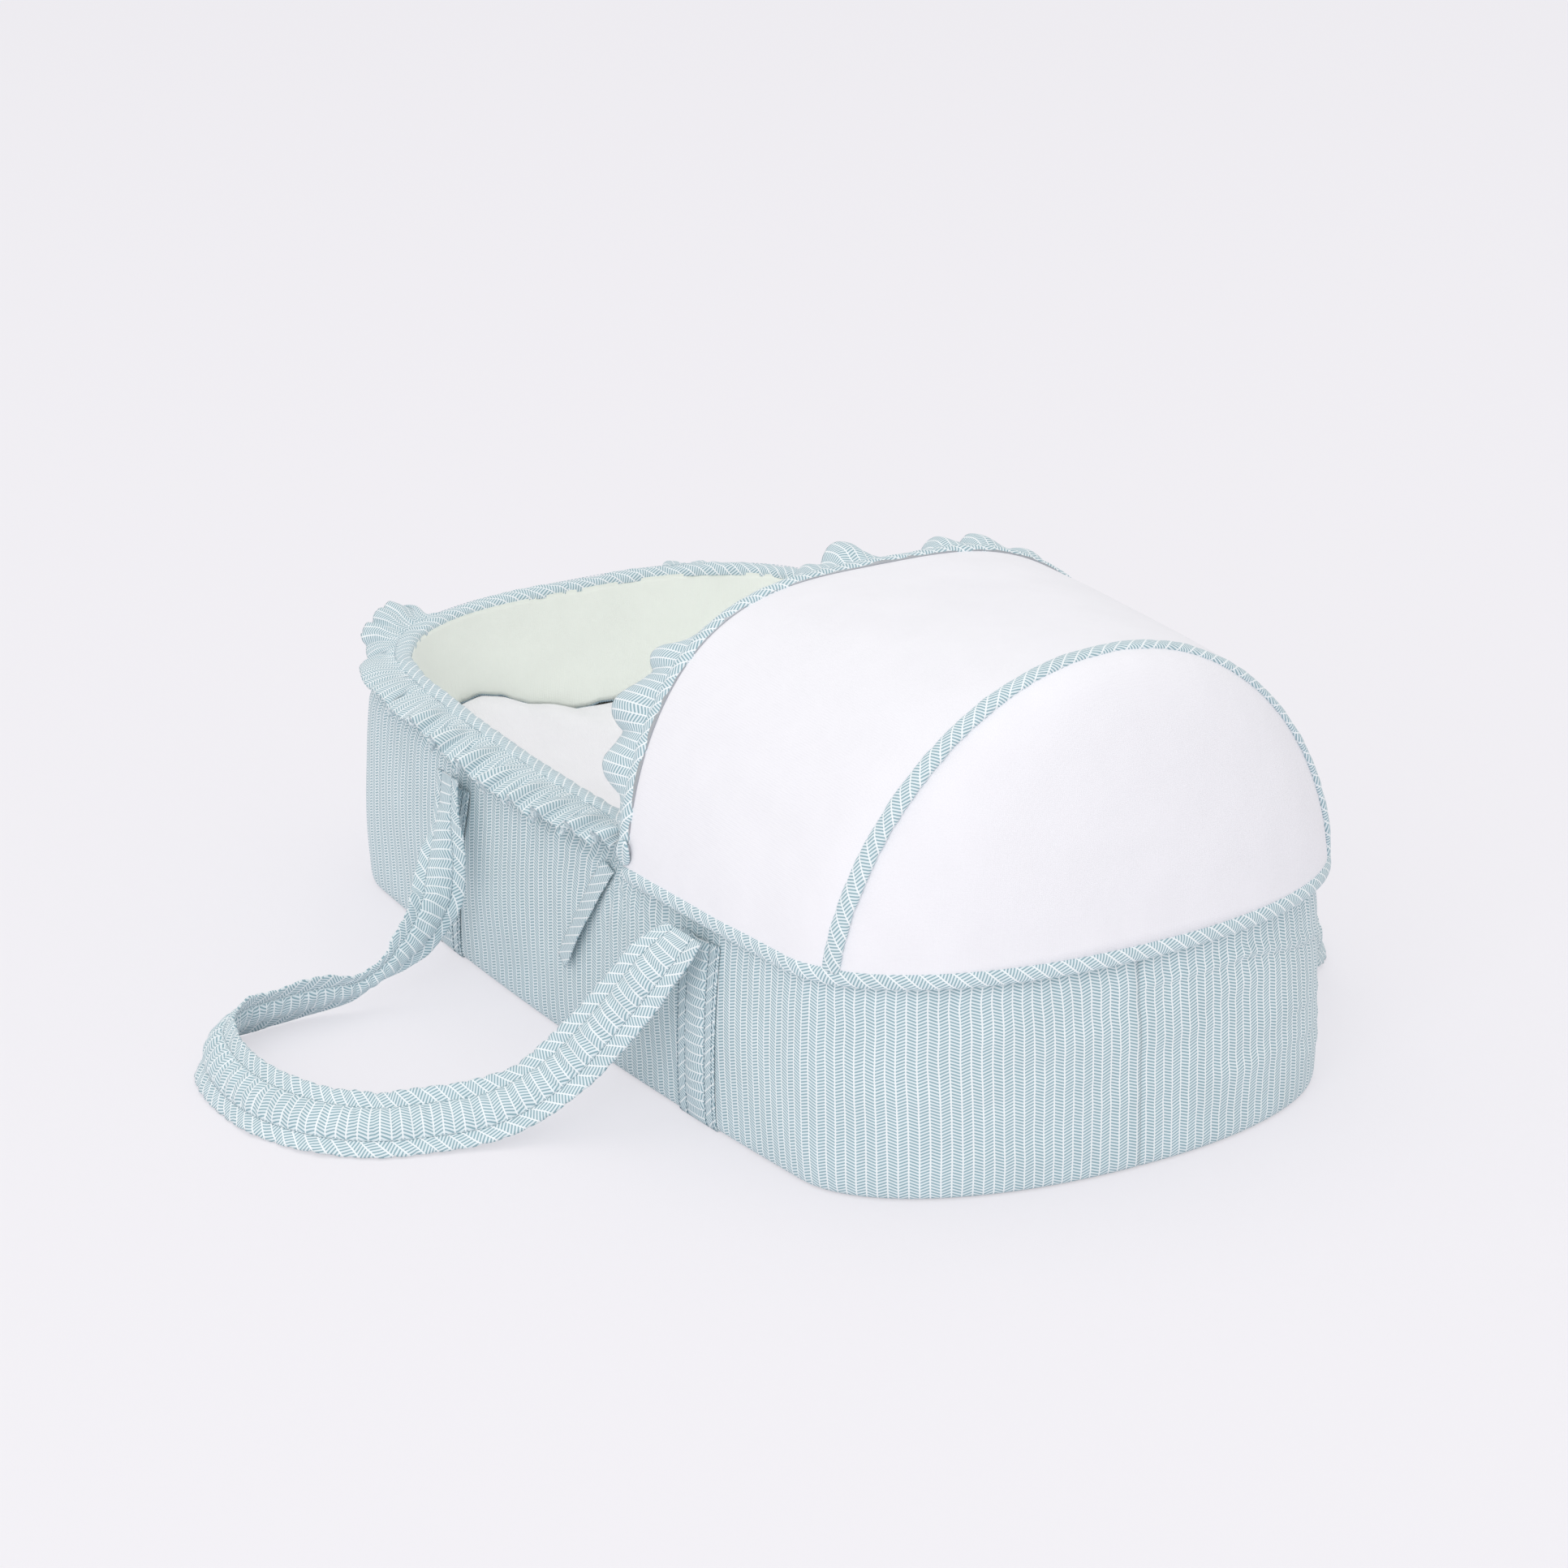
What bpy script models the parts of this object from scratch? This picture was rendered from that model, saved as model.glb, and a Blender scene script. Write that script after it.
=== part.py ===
"""Soft fabric carrycot with a fixed padded basket, a folding hood and two carrying loops.

The basket stands on z = 0. +X points to the head end, where the hood is, +Y to the far side and +Z up.
Every wall layer follows one plan outline, so a change of the outline carries every layer with it.
All lengths are in metres.
"""

import math

import bmesh
import bpy
from mathutils import Vector

# Basket plan
basket_length = 0.782
end_width = 0.3534
middle_width = 0.3946
foot_corner_length = 0.103
foot_corner_width = 0.153
head_corner_length = 0.096
corner_power_share = 2.166

# Basket height and wall section
side_rim_height = 0.165
end_rim_rise = 0.013
wall_depth = 0.026
wall_bulge = 0.002
shoulder_drop = 0.033
shoulder_inset = 0.0015
rim_inset = 0.0187
rim_width = 0.014
rim_binding_depth = 0.010
rim_binding_thickness = 0.002
foot_lean = 0.020
foot_lean_length = 0.16
cover_thickness = 0.0016
lining_thickness = 0.0014
fit_gap = 0.0003
layer_gap = 0.0005

# Base
base_cover_thickness = 0.006
base_board_thickness = 0.003

# Mattress
mattress_thickness = 0.070
mattress_crown = 0.006
mattress_crown_share = 0.8
mattress_edge_radius = 0.009
mattress_side_gap = 0.003
sheet_thickness = 0.001
lining_hem_radius = 0.001
lining_hem_rise = 0.006

# Hood
hood_front_setback = 0.2752
hood_front_lean = math.radians(-9.2)
hood_front_rise = 0.1624
hood_front_side_power_share = 3.33
hood_front_top_power_share = 1.5
hood_middle_setback = 0.062
hood_middle_lean = math.radians(7.0)
hood_middle_rise = 0.1775
hood_middle_side_power_share = 2.06
hood_middle_top_power_share = 1.66
hood_outset = 0.0065
hood_fabric_thickness = 0.0012
hood_hem_height = 0.011
hood_hem_drop = 0.0255
hood_hem_outset = 0.0085
hood_hem_lead = 0.0098
end_panel_side_power_share = 0.72
end_panel_top_power_share = 0.86
bow_radius = 0.002
bow_clearance = 0.0003
front_binding_width = 0.010
middle_band_width = 0.012
binding_thickness = 0.0066

# Bow hinge
hinge_rise = 0.0155
hinge_eye_radius = 0.0045
hinge_eye_length = 0.0046
hinge_pin_radius = 0.0014
hinge_pin_clearance = 0.0003
hinge_boss_radius = 0.0021
hinge_head_radius = 0.0045
hinge_head_length = 0.001
hinge_cover_gap = 0.002

# Frills
rim_frill_reach = 0.040
rim_frill_drop = 0.005
rim_frill_wave = 0.0055
rim_frill_pitch = 0.025
rim_frill_seam_drop = 0.0048
rim_frill_lead = 0.0178
rim_frill_foot_setback = 0.141
hood_frill_reach = 0.028
hood_frill_wave = 0.006
hood_frill_pitch = 0.037
hood_frill_rise = 0.039
frill_thickness = 0.0008

# Straps and handles
strap_width = 0.043
strap_thickness = 0.0015
foot_strap_setback = 0.225
foot_strap_slant = 0.022
head_strap_setback = 0.208
head_strap_slant = 0.010
strap_seam_drop = 0.021
handle_width = 0.043
handle_flange_thickness = 0.0016
handle_core_thickness = 0.0085
handle_core_width = 0.022
handle_axis_drop = 0.0065
handle_axis_outset = 0.0072
near_handle_reach = 0.2225
far_handle_reach = 0.1270
floor_gap = 0.0004

# Tie ribbons
tie_width = 0.013
tie_lead = 0.0158
tie_run = 0.070
tie_fall = 0.0825

# Mesh steps
plan_turn = math.radians(10.5)
plan_step = 0.075
surface_overrun = 0.02

# Where each carrying loop runs: along, out and up as shares of its span, reach and axis height,
# then the direction of the strap's width as seen from its lower edge.
near_handle_shares = [
    (-1.00, 0.00, 1.00, -1.00, 0.00, 0.00),
    (-0.92, 0.04, 0.82, -1.00, -0.10, -0.05),
    (-0.82, 0.09, 0.60, -0.75, -0.65, 0.10),
    (-0.74, 0.15, 0.38, -0.10, -0.95, 0.30),
    (-0.70, 0.26, 0.15, 0.25, -0.85, 0.40),
    (-0.69, 0.43, 0.00, 0.50, -0.40, 0.75),
    (-0.69, 0.63, 0.00, 0.55, -0.15, 0.80),
    (-0.65, 0.81, 0.00, 0.60, 0.00, 0.80),
    (-0.49, 0.94, 0.00, 0.50, 0.35, 0.75),
    (-0.22, 1.00, 0.00, 0.10, 0.60, 0.75),
    (0.08, 1.00, 0.00, -0.20, 0.60, 0.75),
    (0.34, 0.93, 0.00, -0.50, 0.45, 0.70),
    (0.52, 0.80, 0.00, -0.68, 0.25, 0.68),
    (0.61, 0.62, 0.00, -0.70, 0.10, 0.70),
    (0.67, 0.47, 0.05, -0.75, 0.10, 0.62),
    (0.74, 0.31, 0.23, -0.85, -0.05, 0.53),
    (0.83, 0.17, 0.53, -0.87, -0.12, 0.48),
    (0.93, 0.07, 0.82, -0.93, -0.20, 0.30),
    (1.00, 0.00, 1.00, -1.00, 0.00, 0.00),
]
far_handle_shares = [
    (-1.00, 0.00, 1.00, -1.00, 0.00, 0.00),
    (-1.08, 0.09, 0.80, -1.00, 0.00, -0.30),
    (-1.20, 0.19, 0.50, -0.80, 0.00, -0.60),
    (-1.35, 0.30, 0.22, -0.60, 0.00, -0.80),
    (-1.52, 0.46, 0.00, -0.50, 0.00, -0.80),
    (-1.61, 0.67, 0.00, -0.50, -0.10, -0.80),
    (-1.52, 0.87, 0.00, -0.45, -0.30, -0.80),
    (-1.24, 0.97, 0.00, -0.20, -0.45, -0.80),
    (-0.82, 1.00, 0.00, 0.00, -0.50, -0.80),
    (-0.37, 0.99, 0.00, 0.00, -0.50, -0.80),
    (0.08, 0.96, 0.00, 0.10, -0.50, -0.80),
    (0.49, 0.86, 0.00, 0.25, -0.45, -0.80),
    (0.82, 0.68, 0.00, 0.40, -0.20, -0.80),
    (1.00, 0.46, 0.10, 0.10, -0.05, -0.85),
    (1.05, 0.26, 0.38, -0.50, 0.00, -0.75),
    (1.03, 0.11, 0.75, -0.85, 0.00, -0.40),
    (1.00, 0.00, 1.00, -1.00, 0.00, 0.00),
]

print_blue = (0.60, 0.71, 0.75, 1.0)
hood_white = (0.90, 0.90, 0.92, 1.0)
lining_green = (0.78, 0.83, 0.77, 1.0)
foam_cream = (0.86, 0.85, 0.80, 1.0)
board_grey = (0.42, 0.38, 0.33, 1.0)
steel_grey = (0.55, 0.56, 0.58, 1.0)
plastic_white = (0.82, 0.83, 0.84, 1.0)

half_length = basket_length / 2
half_end_width = end_width / 2
side_bow_share = middle_width / end_width - 1
end_rim_height = side_rim_height + end_rim_rise
shoulder_height = side_rim_height - shoulder_drop
hood_hem_low = side_rim_height - hood_hem_drop
hood_hem_top = hood_hem_low + hood_hem_height
hood_base = hood_hem_low + hood_hem_height / 2
hood_front_position = half_length - hood_front_setback
hood_middle_position = half_length - hood_middle_setback
hinge_height = hood_base + hinge_rise
rim_frill_start = hood_front_position - rim_frill_lead
rim_frill_side_end = half_length - rim_frill_foot_setback
foot_strap_position = foot_strap_setback - half_length
head_strap_position = half_length - head_strap_setback
handle_foot_end = foot_strap_position + foot_strap_slant
handle_head_end = head_strap_position + head_strap_slant
handle_axis_height = hood_hem_low - handle_axis_drop
strap_seam_height = handle_axis_height - strap_seam_drop
handle_axis_offset = middle_width / 2 + handle_axis_outset
hinge_clear = hinge_eye_radius + hinge_cover_gap
base_top = base_cover_thickness + fit_gap
board_top = base_top + base_board_thickness
mattress_low = board_top + fit_gap
mattress_high = mattress_low + mattress_thickness


def clear_scene():
    """Remove every object, so the part stands alone."""
    for obj in list(bpy.data.objects):
        bpy.data.objects.remove(obj, do_unlink=True)


def new_collection(name):
    """A collection linked to the scene."""
    collection = bpy.data.collections.new(name)
    bpy.context.scene.collection.children.link(collection)
    return collection


def fabric(name, colour, roughness=0.9, metallic=0.0):
    """A plain Principled material for one kind of stuff."""
    material = bpy.data.materials.new(name)
    material.use_nodes = True
    shader = material.node_tree.nodes["Principled BSDF"]
    shader.inputs["Base Color"].default_value = colour
    shader.inputs["Roughness"].default_value = roughness
    shader.inputs["Metallic"].default_value = metallic
    return material


def ease(share):
    """A smooth step from 0 to 1."""
    share = max(0.0, min(1.0, share))
    return share * share * (3 - 2 * share)


def quarter(angle):
    """One point of a rounded square corner, as cosine-like and sine-like shares."""
    power = 2 / corner_power_share
    return math.cos(angle) ** power, math.sin(angle) ** power


def near_half_outline(steps=160):
    """The near half of the plan outline, from the foot end's centre to the head end's centre."""
    points = [(-half_length, 0.0)]
    for step in range(steps + 1):
        across, along = quarter(math.pi / 2 * step / steps)
        points.append((
            -half_length + foot_corner_length * (1 - across),
            -half_end_width + foot_corner_width * (1 - along),
        ))
    for step in range(1, steps):
        low, high = -half_length + foot_corner_length, half_length - head_corner_length
        points.append((low + (high - low) * step / steps, -half_end_width))
    for step in range(steps + 1):
        across, along = quarter(math.pi / 2 * step / steps)
        points.append((
            half_length - head_corner_length * (1 - along),
            -half_end_width * across,
        ))
    bowed = []
    for x, y in points:
        point = (x, y * (1 + side_bow_share * (1 - (x / half_length) ** 2)))
        if not bowed or math.dist(point, bowed[-1]) > fit_gap / 2:
            bowed.append(point)
    return bowed


class Outline:
    """The closed plan outline, read by the distance along it from the foot end's centre."""

    def __init__(self):
        near = near_half_outline()
        far = [(x, -y) for x, y in reversed(near[1:-1])]
        self.points = near + far
        self.lengths = [0.0]
        for here, there in zip(self.points, self.points[1:] + self.points[:1]):
            self.lengths.append(self.lengths[-1] + math.dist(here, there))
        self.total = self.lengths[-1]

    def point(self, distance):
        """The place on the outline at a distance along it."""
        distance %= self.total
        low, high = 0, len(self.points)
        while high - low > 1:
            middle = (low + high) // 2
            if self.lengths[middle] <= distance:
                low = middle
            else:
                high = middle
        share = (distance - self.lengths[low]) / (self.lengths[low + 1] - self.lengths[low])
        here = self.points[low]
        there = self.points[(low + 1) % len(self.points)]
        return (here[0] + (there[0] - here[0]) * share, here[1] + (there[1] - here[1]) * share)

    def station(self, distance):
        """A place on the outline with its outward direction."""
        reach = wall_depth / 4
        before, after = self.point(distance - reach), self.point(distance + reach)
        run = math.dist(before, after)
        x, y = self.point(distance)
        return x, y, (after[1] - before[1]) / run, -(after[0] - before[0]) / run

    def at_x(self, x, side):
        """The distance along the outline where it crosses x on the near (-1) or far (+1) side."""
        low, high = 0.0, self.total / 2
        for _ in range(50):
            middle = (low + high) / 2
            if self.point(middle)[0] < x:
                low = middle
            else:
                high = middle
        return low if side < 0 else self.total - low

    def walk(self, start, end):
        """Distances from start to end, closer together where the outline turns."""
        distances, held_turn, held_step = [start], 0.0, 0.0
        count = max(2, round((end - start) / (wall_depth / 4)))
        fine = (end - start) / count
        last = self.station(start)
        for index in range(1, count):
            here = self.station(start + fine * index)
            held_turn += math.acos(max(-1.0, min(1.0, last[2] * here[2] + last[3] * here[3])))
            held_step += fine
            last = here
            if held_turn >= plan_turn or held_step >= plan_step:
                distances.append(start + fine * index)
                held_turn = held_step = 0.0
        if end - distances[-1] < wall_depth / 2 and len(distances) > 1:
            distances.pop()
        return distances + [end]

    def set_stops(self, splits):
        """Fix the stops that every layer shares, so that facing layers stay parallel."""
        self.stops = [0.0]
        for here, there in zip([0.0] + splits, splits + [self.total]):
            self.stops += self.walk(here, there)[1:]
        self.stops.pop()

    def between(self, start, end):
        """The shared stops from start to end, with both ends."""
        margin = wall_depth / 8
        inside = [
            stop + lap * self.total for lap in (-1, 0, 1) for stop in self.stops
            if start + margin < stop + lap * self.total < end - margin
        ]
        return [start] + inside + [end]


outline = Outline()
foot_split = outline.at_x(-half_length + foot_lean_length, -1)
head_split = outline.at_x(half_length - head_corner_length, -1)
wall_splits = [
    foot_split, head_split, outline.total / 2, outline.total - head_split, outline.total - foot_split,
]
outline.set_stops(wall_splits)


def half_width_at(x):
    """The outline's half width at x."""
    return abs(outline.point(outline.at_x(x, -1))[1])


def rim_height(x):
    """The rim's height at x: it rises towards both ends."""
    return side_rim_height + (end_rim_height - side_rim_height) * (x / half_length) ** 2


def place(distance, inset, z, height_share=None):
    """A point set in from the outline, moved along where the foot wall leans in."""
    x, y, out_x, out_y = outline.station(distance)
    if height_share is None:
        height_share = z / rim_height(x)
    lean = foot_lean * height_share**2
    lean *= ease((-x - (half_length - foot_lean_length)) / foot_lean_length)
    return Vector((x - out_x * inset + lean, y - out_y * inset, z))


def outer_inset(z, rim_z):
    """How far the wall's outer face stands in from the outline at height z."""
    leg = rim_z - rim_binding_depth
    top_inset = rim_inset - rim_width / 2 + fit_gap
    if z <= shoulder_height:
        share = z / shoulder_height
        return shoulder_inset * share**4 - wall_bulge * math.sin(math.pi * share)
    share = ease((z - shoulder_height) / max(leg - shoulder_height, fit_gap))
    return shoulder_inset + (top_inset - shoulder_inset) * share


def depth_at(z, rim_z):
    """The wall's depth at height z: full below, drawn together at the rim."""
    leg = rim_z - rim_binding_depth
    share = ease((z - mattress_high) / (leg - mattress_high))
    return wall_depth + (rim_width - 2 * fit_gap - wall_depth) * share


def skin(name, loops, closed, collection, material):
    """One closed body through a row of loops with equal counts."""
    mesh = bpy.data.meshes.new(name)
    count = len(loops[0])
    vertices = [point for loop in loops for point in loop]
    faces = []
    pairs = len(loops) if closed else len(loops) - 1
    for index in range(pairs):
        here, there = index * count, (index + 1) % len(loops) * count
        for corner in range(count):
            after = (corner + 1) % count
            faces.append((here + corner, here + after, there + after, there + corner))
    if not closed:
        faces.append(tuple(range(count)))
        faces.append(tuple(range((len(loops) - 1) * count, len(loops) * count)))
    mesh.from_pydata(vertices, [], faces)
    return finish_mesh(name, mesh, collection, material)


def finish_mesh(name, mesh, collection, material):
    """Turn the faces outward, link the object and shade it."""
    work = bmesh.new()
    work.from_mesh(mesh)
    bmesh.ops.recalc_face_normals(work, faces=work.faces)
    work.to_mesh(mesh)
    work.free()
    mesh.materials.append(material)
    mesh.shade_smooth()
    mesh.set_sharp_from_angle(angle=math.radians(40))
    obj = bpy.data.objects.new(name, mesh)
    collection.objects.link(obj)
    return obj


def sheet(name, rows, thickness, collection, material, closed=False):
    """An open grid of points given its thickness by Solidify, centred on the grid."""
    mesh = bpy.data.meshes.new(name)
    count = len(rows[0])
    vertices = [point for row in rows for point in row]
    faces = []
    for index in range(len(rows) if closed else len(rows) - 1):
        here, there = index * count, (index + 1) % len(rows) * count
        for corner in range(count - 1):
            faces.append((here + corner, here + corner + 1, there + corner + 1, there + corner))
    mesh.from_pydata(vertices, [], faces)
    obj = finish_mesh(name, mesh, collection, material)
    solid = obj.modifiers.new("Thickness", "SOLIDIFY")
    solid.thickness = thickness
    solid.offset = 0.0
    solid.use_even_offset = True
    return obj


def cut(obj, cutter):
    """Take one cutter's shape out of an object."""
    boolean = obj.modifiers.new("Cut " + cutter.name, "BOOLEAN")
    boolean.operation = "DIFFERENCE"
    boolean.solver = "EXACT"
    boolean.object = cutter
    return obj


def hide_cutter(cutter, collection):
    """Keep a cutter out of the part."""
    for owner in list(cutter.users_collection):
        owner.objects.unlink(cutter)
    collection.objects.link(cutter)
    cutter.hide_render = True
    cutter.display_type = "WIRE"
    return cutter


def smooth_path(rows, pieces):
    """A smooth run of values through the rows, by Catmull-Rom."""
    result = []
    for index in range(len(rows) - 1):
        before = rows[max(index - 1, 0)]
        here, there = rows[index], rows[index + 1]
        after = rows[min(index + 2, len(rows) - 1)]
        for step in range(pieces):
            t = step / pieces
            result.append(tuple(
                (2 * b + (c - a) * t + (2 * a - 5 * b + 4 * c - d) * t**2 + (3 * b - a - 3 * c + d) * t**3) / 2
                for a, b, c, d in zip(before, here, there, after)
            ))
    return result + [tuple(rows[-1])]


def plan_plate(name, inset, low, thickness, collection, material):
    """A flat plate of the basket's plan, as a filled and extruded 2D curve."""
    data = bpy.data.curves.new(name, "CURVE")
    data.dimensions = "2D"
    data.fill_mode = "BOTH"
    data.extrude = thickness / 2
    spline = data.splines.new("POLY")
    spline.points.add(len(outline.stops) - 1)
    for point, distance in zip(spline.points, outline.stops):
        x, y, _ = place(distance, inset, 0.0)
        point.co = (x, y, 0.0, 1.0)
    spline.use_cyclic_u = True
    curve = bpy.data.objects.new(name + "_curve", data)
    collection.objects.link(curve)
    curve.location.z = low + thickness / 2
    return meshed(name, curve, collection, material)


def meshed(name, curve, collection, material):
    """A curve object turned into a welded mesh object of the given name."""
    bpy.context.view_layer.update()
    graph = bpy.context.evaluated_depsgraph_get()
    mesh = bpy.data.meshes.new_from_object(curve.evaluated_get(graph))
    mesh.transform(curve.matrix_world)
    work = bmesh.new()
    work.from_mesh(mesh)
    bmesh.ops.remove_doubles(work, verts=work.verts, dist=bow_clearance / 30)
    work.to_mesh(mesh)
    work.free()
    mesh.materials.clear()
    bpy.data.objects.remove(curve, do_unlink=True)
    return finish_mesh(name, mesh, collection, material)


def build_base(parts, cutters, stuff):
    """Base cover with a groove for each strap, and the stiff board that lies on it."""
    cover = plan_plate("base_cover", 0.0, 0.0, base_cover_thickness, parts, stuff["print"])
    groove = strap_thickness + fit_gap
    for name, position in (("foot", foot_strap_position), ("head", head_strap_position)):
        bpy.ops.mesh.primitive_cube_add(size=1)
        cutter = bpy.context.active_object
        cutter.name = name + "_groove_cutter"
        cutter.scale = (strap_width + 2 * fit_gap, middle_width + 2 * surface_overrun, 2 * groove)
        cutter.location = (position, 0.0, 0.0)
        cut(cover, hide_cutter(cutter, cutters))
    board_inset = wall_depth + fit_gap
    plan_plate("base_board", board_inset, base_top, base_board_thickness, parts, stuff["board"])


def wall_levels(leg):
    """The heights at which the outer layers of the wall have points."""
    middle = (shoulder_height + leg) / 2
    return [base_top, wall_depth * 3, mattress_high + wall_depth, shoulder_height, middle, leg - fit_gap]


def foam_loop(distance):
    """The foam's section at one place along the wall."""
    x = outline.point(distance)[0]
    rim_z = rim_height(x)
    leg = rim_z - rim_binding_depth
    top = rim_z - rim_binding_thickness - fit_gap
    levels = wall_levels(leg)
    crown_half = rim_width / 2 - rim_binding_thickness - fit_gap
    outer, inner = [], []
    for z in levels:
        face = outer_inset(z, rim_z)
        depth = depth_at(z, rim_z)
        outer.append(place(distance, face + cover_thickness + layer_gap, z))
        inner.append(place(distance, face + depth - lining_thickness - layer_gap, z))
    outer.append(place(distance, rim_inset - crown_half, top))
    inner.append(place(distance, rim_inset + crown_half, top))
    return outer + inner[::-1]


def cover_loop(distance):
    """The outer cover's section at one place along the wall."""
    x = outline.point(distance)[0]
    rim_z = rim_height(x)
    leg = rim_z - rim_binding_depth
    levels = wall_levels(leg)
    outer = [place(distance, outer_inset(z, rim_z), z) for z in levels]
    inner = [place(distance, outer_inset(z, rim_z) + cover_thickness, z) for z in levels]
    return outer + inner[::-1]


def lining_loop(distance):
    """The inner lining's section at one place along the wall."""
    x = outline.point(distance)[0]
    rim_z = rim_height(x)
    leg = rim_z - rim_binding_depth
    levels = [base_top + base_board_thickness / 2, mattress_high, mattress_high + wall_depth, leg - fit_gap]
    faces = [outer_inset(z, rim_z) + depth_at(z, rim_z) for z in levels]
    inner = [place(distance, face, z) for face, z in zip(faces, levels)]
    outer = [place(distance, face - lining_thickness, z) for face, z in zip(faces, levels)]
    return outer + inner[::-1]


def build_walls(parts, stuff):
    """Four foam panels, two outer covers that meet at the head seam, and the lining."""
    near_foot, near_head, middle, far_head, far_foot = wall_splits
    spans = {
        "near_wall_foam": (near_foot, near_head),
        "head_wall_foam": (near_head, far_head),
        "far_wall_foam": (far_head, far_foot),
        "foot_wall_foam": (far_foot - outline.total, near_foot),
    }
    for name, (start, end) in spans.items():
        distances = outline.between(start + fit_gap / 2, end - fit_gap / 2)
        skin(name, [foam_loop(distance) for distance in distances], False, parts, stuff["foam"])
    for name, start, end in (("near_cover", 0.0, middle), ("far_cover", middle, outline.total)):
        distances = outline.between(start + fit_gap / 2, end - fit_gap / 2)
        skin(name, [cover_loop(distance) for distance in distances], False, parts, stuff["print"])
    skin("inner_lining", [lining_loop(distance) for distance in outline.stops], True, parts, stuff["lining"])


def rim_loop(distance):
    """The rim binding's section: a rounded cap over the wall with two short legs."""
    rim_z = rim_height(outline.point(distance)[0])
    half, low = rim_width / 2, rim_z - rim_binding_depth
    inside = half - rim_binding_thickness
    turn = rim_z - rim_binding_depth * 0.4
    under = rim_z - rim_binding_thickness
    section = [
        (-half, low), (-half, turn), (-half * 0.6, rim_z), (half * 0.6, rim_z), (half, turn), (half, low),
        (inside, low), (inside, under), (-inside, under), (-inside, low),
    ]
    return [place(distance, rim_inset + across, z) for across, z in section]


def build_rim(parts, stuff):
    """The binding over the wall's top edge, and the gathered frill sewn to it in three lengths."""
    skin("rim_binding", [rim_loop(distance) for distance in outline.stops], True, parts, stuff["print"])
    near_start = outline.at_x(-rim_frill_side_end, -1)
    near_end = outline.at_x(rim_frill_start, -1)
    far_start, far_end = outline.total - near_end, outline.total - near_start
    rim_frill("near_rim_frill", near_start + fit_gap, near_end, parts, stuff["print"])
    rim_frill("foot_rim_frill", far_end - outline.total, near_start, parts, stuff["print"])
    rim_frill("far_rim_frill", far_start, far_end - fit_gap, parts, stuff["print"])


def rim_frill(name, start, end, parts, material):
    """A gathered strip: it leaves the binding level, droops, and waves more towards its hem."""
    pleats = max(2, round((end - start) / rim_frill_pitch))
    columns = pleats * 4
    seam = rim_inset - rim_width / 2 - fit_gap - frill_thickness / 2
    end_gap = frill_thickness
    rows = []
    for column in range(columns + 1):
        distance = start + end_gap + (end - start - 2 * end_gap) * column / columns
        rim_z = rim_height(outline.point(distance)[0])
        wave = math.sin(column * math.pi / 2)
        row = []
        for share in (0.0, 0.5, 1.0):
            drop = rim_frill_seam_drop + rim_frill_drop * share**2
            z = rim_z - drop + rim_frill_wave * wave * share
            row.append(place(distance, seam - rim_frill_reach * share, z))
        rows.append(row)
    sheet(name, rows, frill_thickness, parts, material)


def arch_point(share, height_share, near):
    """A point of an arch between the front bow and the middle bow.

    share runs from the front bow to the middle bow, height_share from the hem to the crown.
    """
    position, lean, rise, side_power, top_power = hood_values(share)
    half = half_width_at(position) + hood_outset
    side = half * (1 - height_share**top_power) ** (1 / side_power)
    height = rise * height_share
    return Vector((position + math.tan(lean) * height, near * side, hood_base + height))


def hood_values(share):
    """The arch's place, lean, rise and roundness between the front bow and the middle bow."""
    front = (hood_front_position, hood_front_lean, hood_front_rise,
             hood_front_side_power_share, hood_front_top_power_share)
    middle = (hood_middle_position, hood_middle_lean, hood_middle_rise,
              hood_middle_side_power_share, hood_middle_top_power_share)
    return tuple(a + (b - a) * share for a, b in zip(front, middle))


def arch_line(share, start_height, count):
    """Points of one arch from the near hem over the crown to the far hem, evenly turned."""
    rise, top_power = hood_values(share)[2], hood_values(share)[4]
    low = (start_height - hood_base) / rise
    first = math.asin(low ** (top_power / 2))
    points = []
    for step in range(count + 1):
        angle = first + (math.pi - 2 * first) * step / count
        height_share = math.sin(angle) ** (2 / top_power)
        if step == 0 or step == count:
            height_share = low
        near = -1 if step * 2 < count else 1
        if step * 2 == count:
            points.append(arch_point(share, 1.0, 0))
        else:
            points.append(arch_point(share, min(height_share, 1.0), near))
    return points


def trimmed(row, front_gap, back_gap):
    """A row of points drawn in by a gap at each of its ends."""
    first = row[0] + (row[1] - row[0]).normalized() * front_gap
    last = row[-1] + (row[-2] - row[-1]).normalized() * back_gap
    return [first] + row[1:-1] + [last]


def end_row(distance, arch, count, low):
    """One run of the end panel, from the middle bow out and down to the hem."""
    foot = place(distance, -hood_outset, low)
    row = []
    for step in range(count + 1):
        angle = math.pi / 2 * step / count
        out = math.sin(angle) ** end_panel_side_power_share
        down = math.cos(angle) ** end_panel_top_power_share if step < count else 0.0
        row.append(Vector((
            arch.x + (foot.x - arch.x) * out,
            arch.y + (foot.y - arch.y) * out,
            foot.z + (arch.z - foot.z) * down,
        )))
    return row


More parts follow.
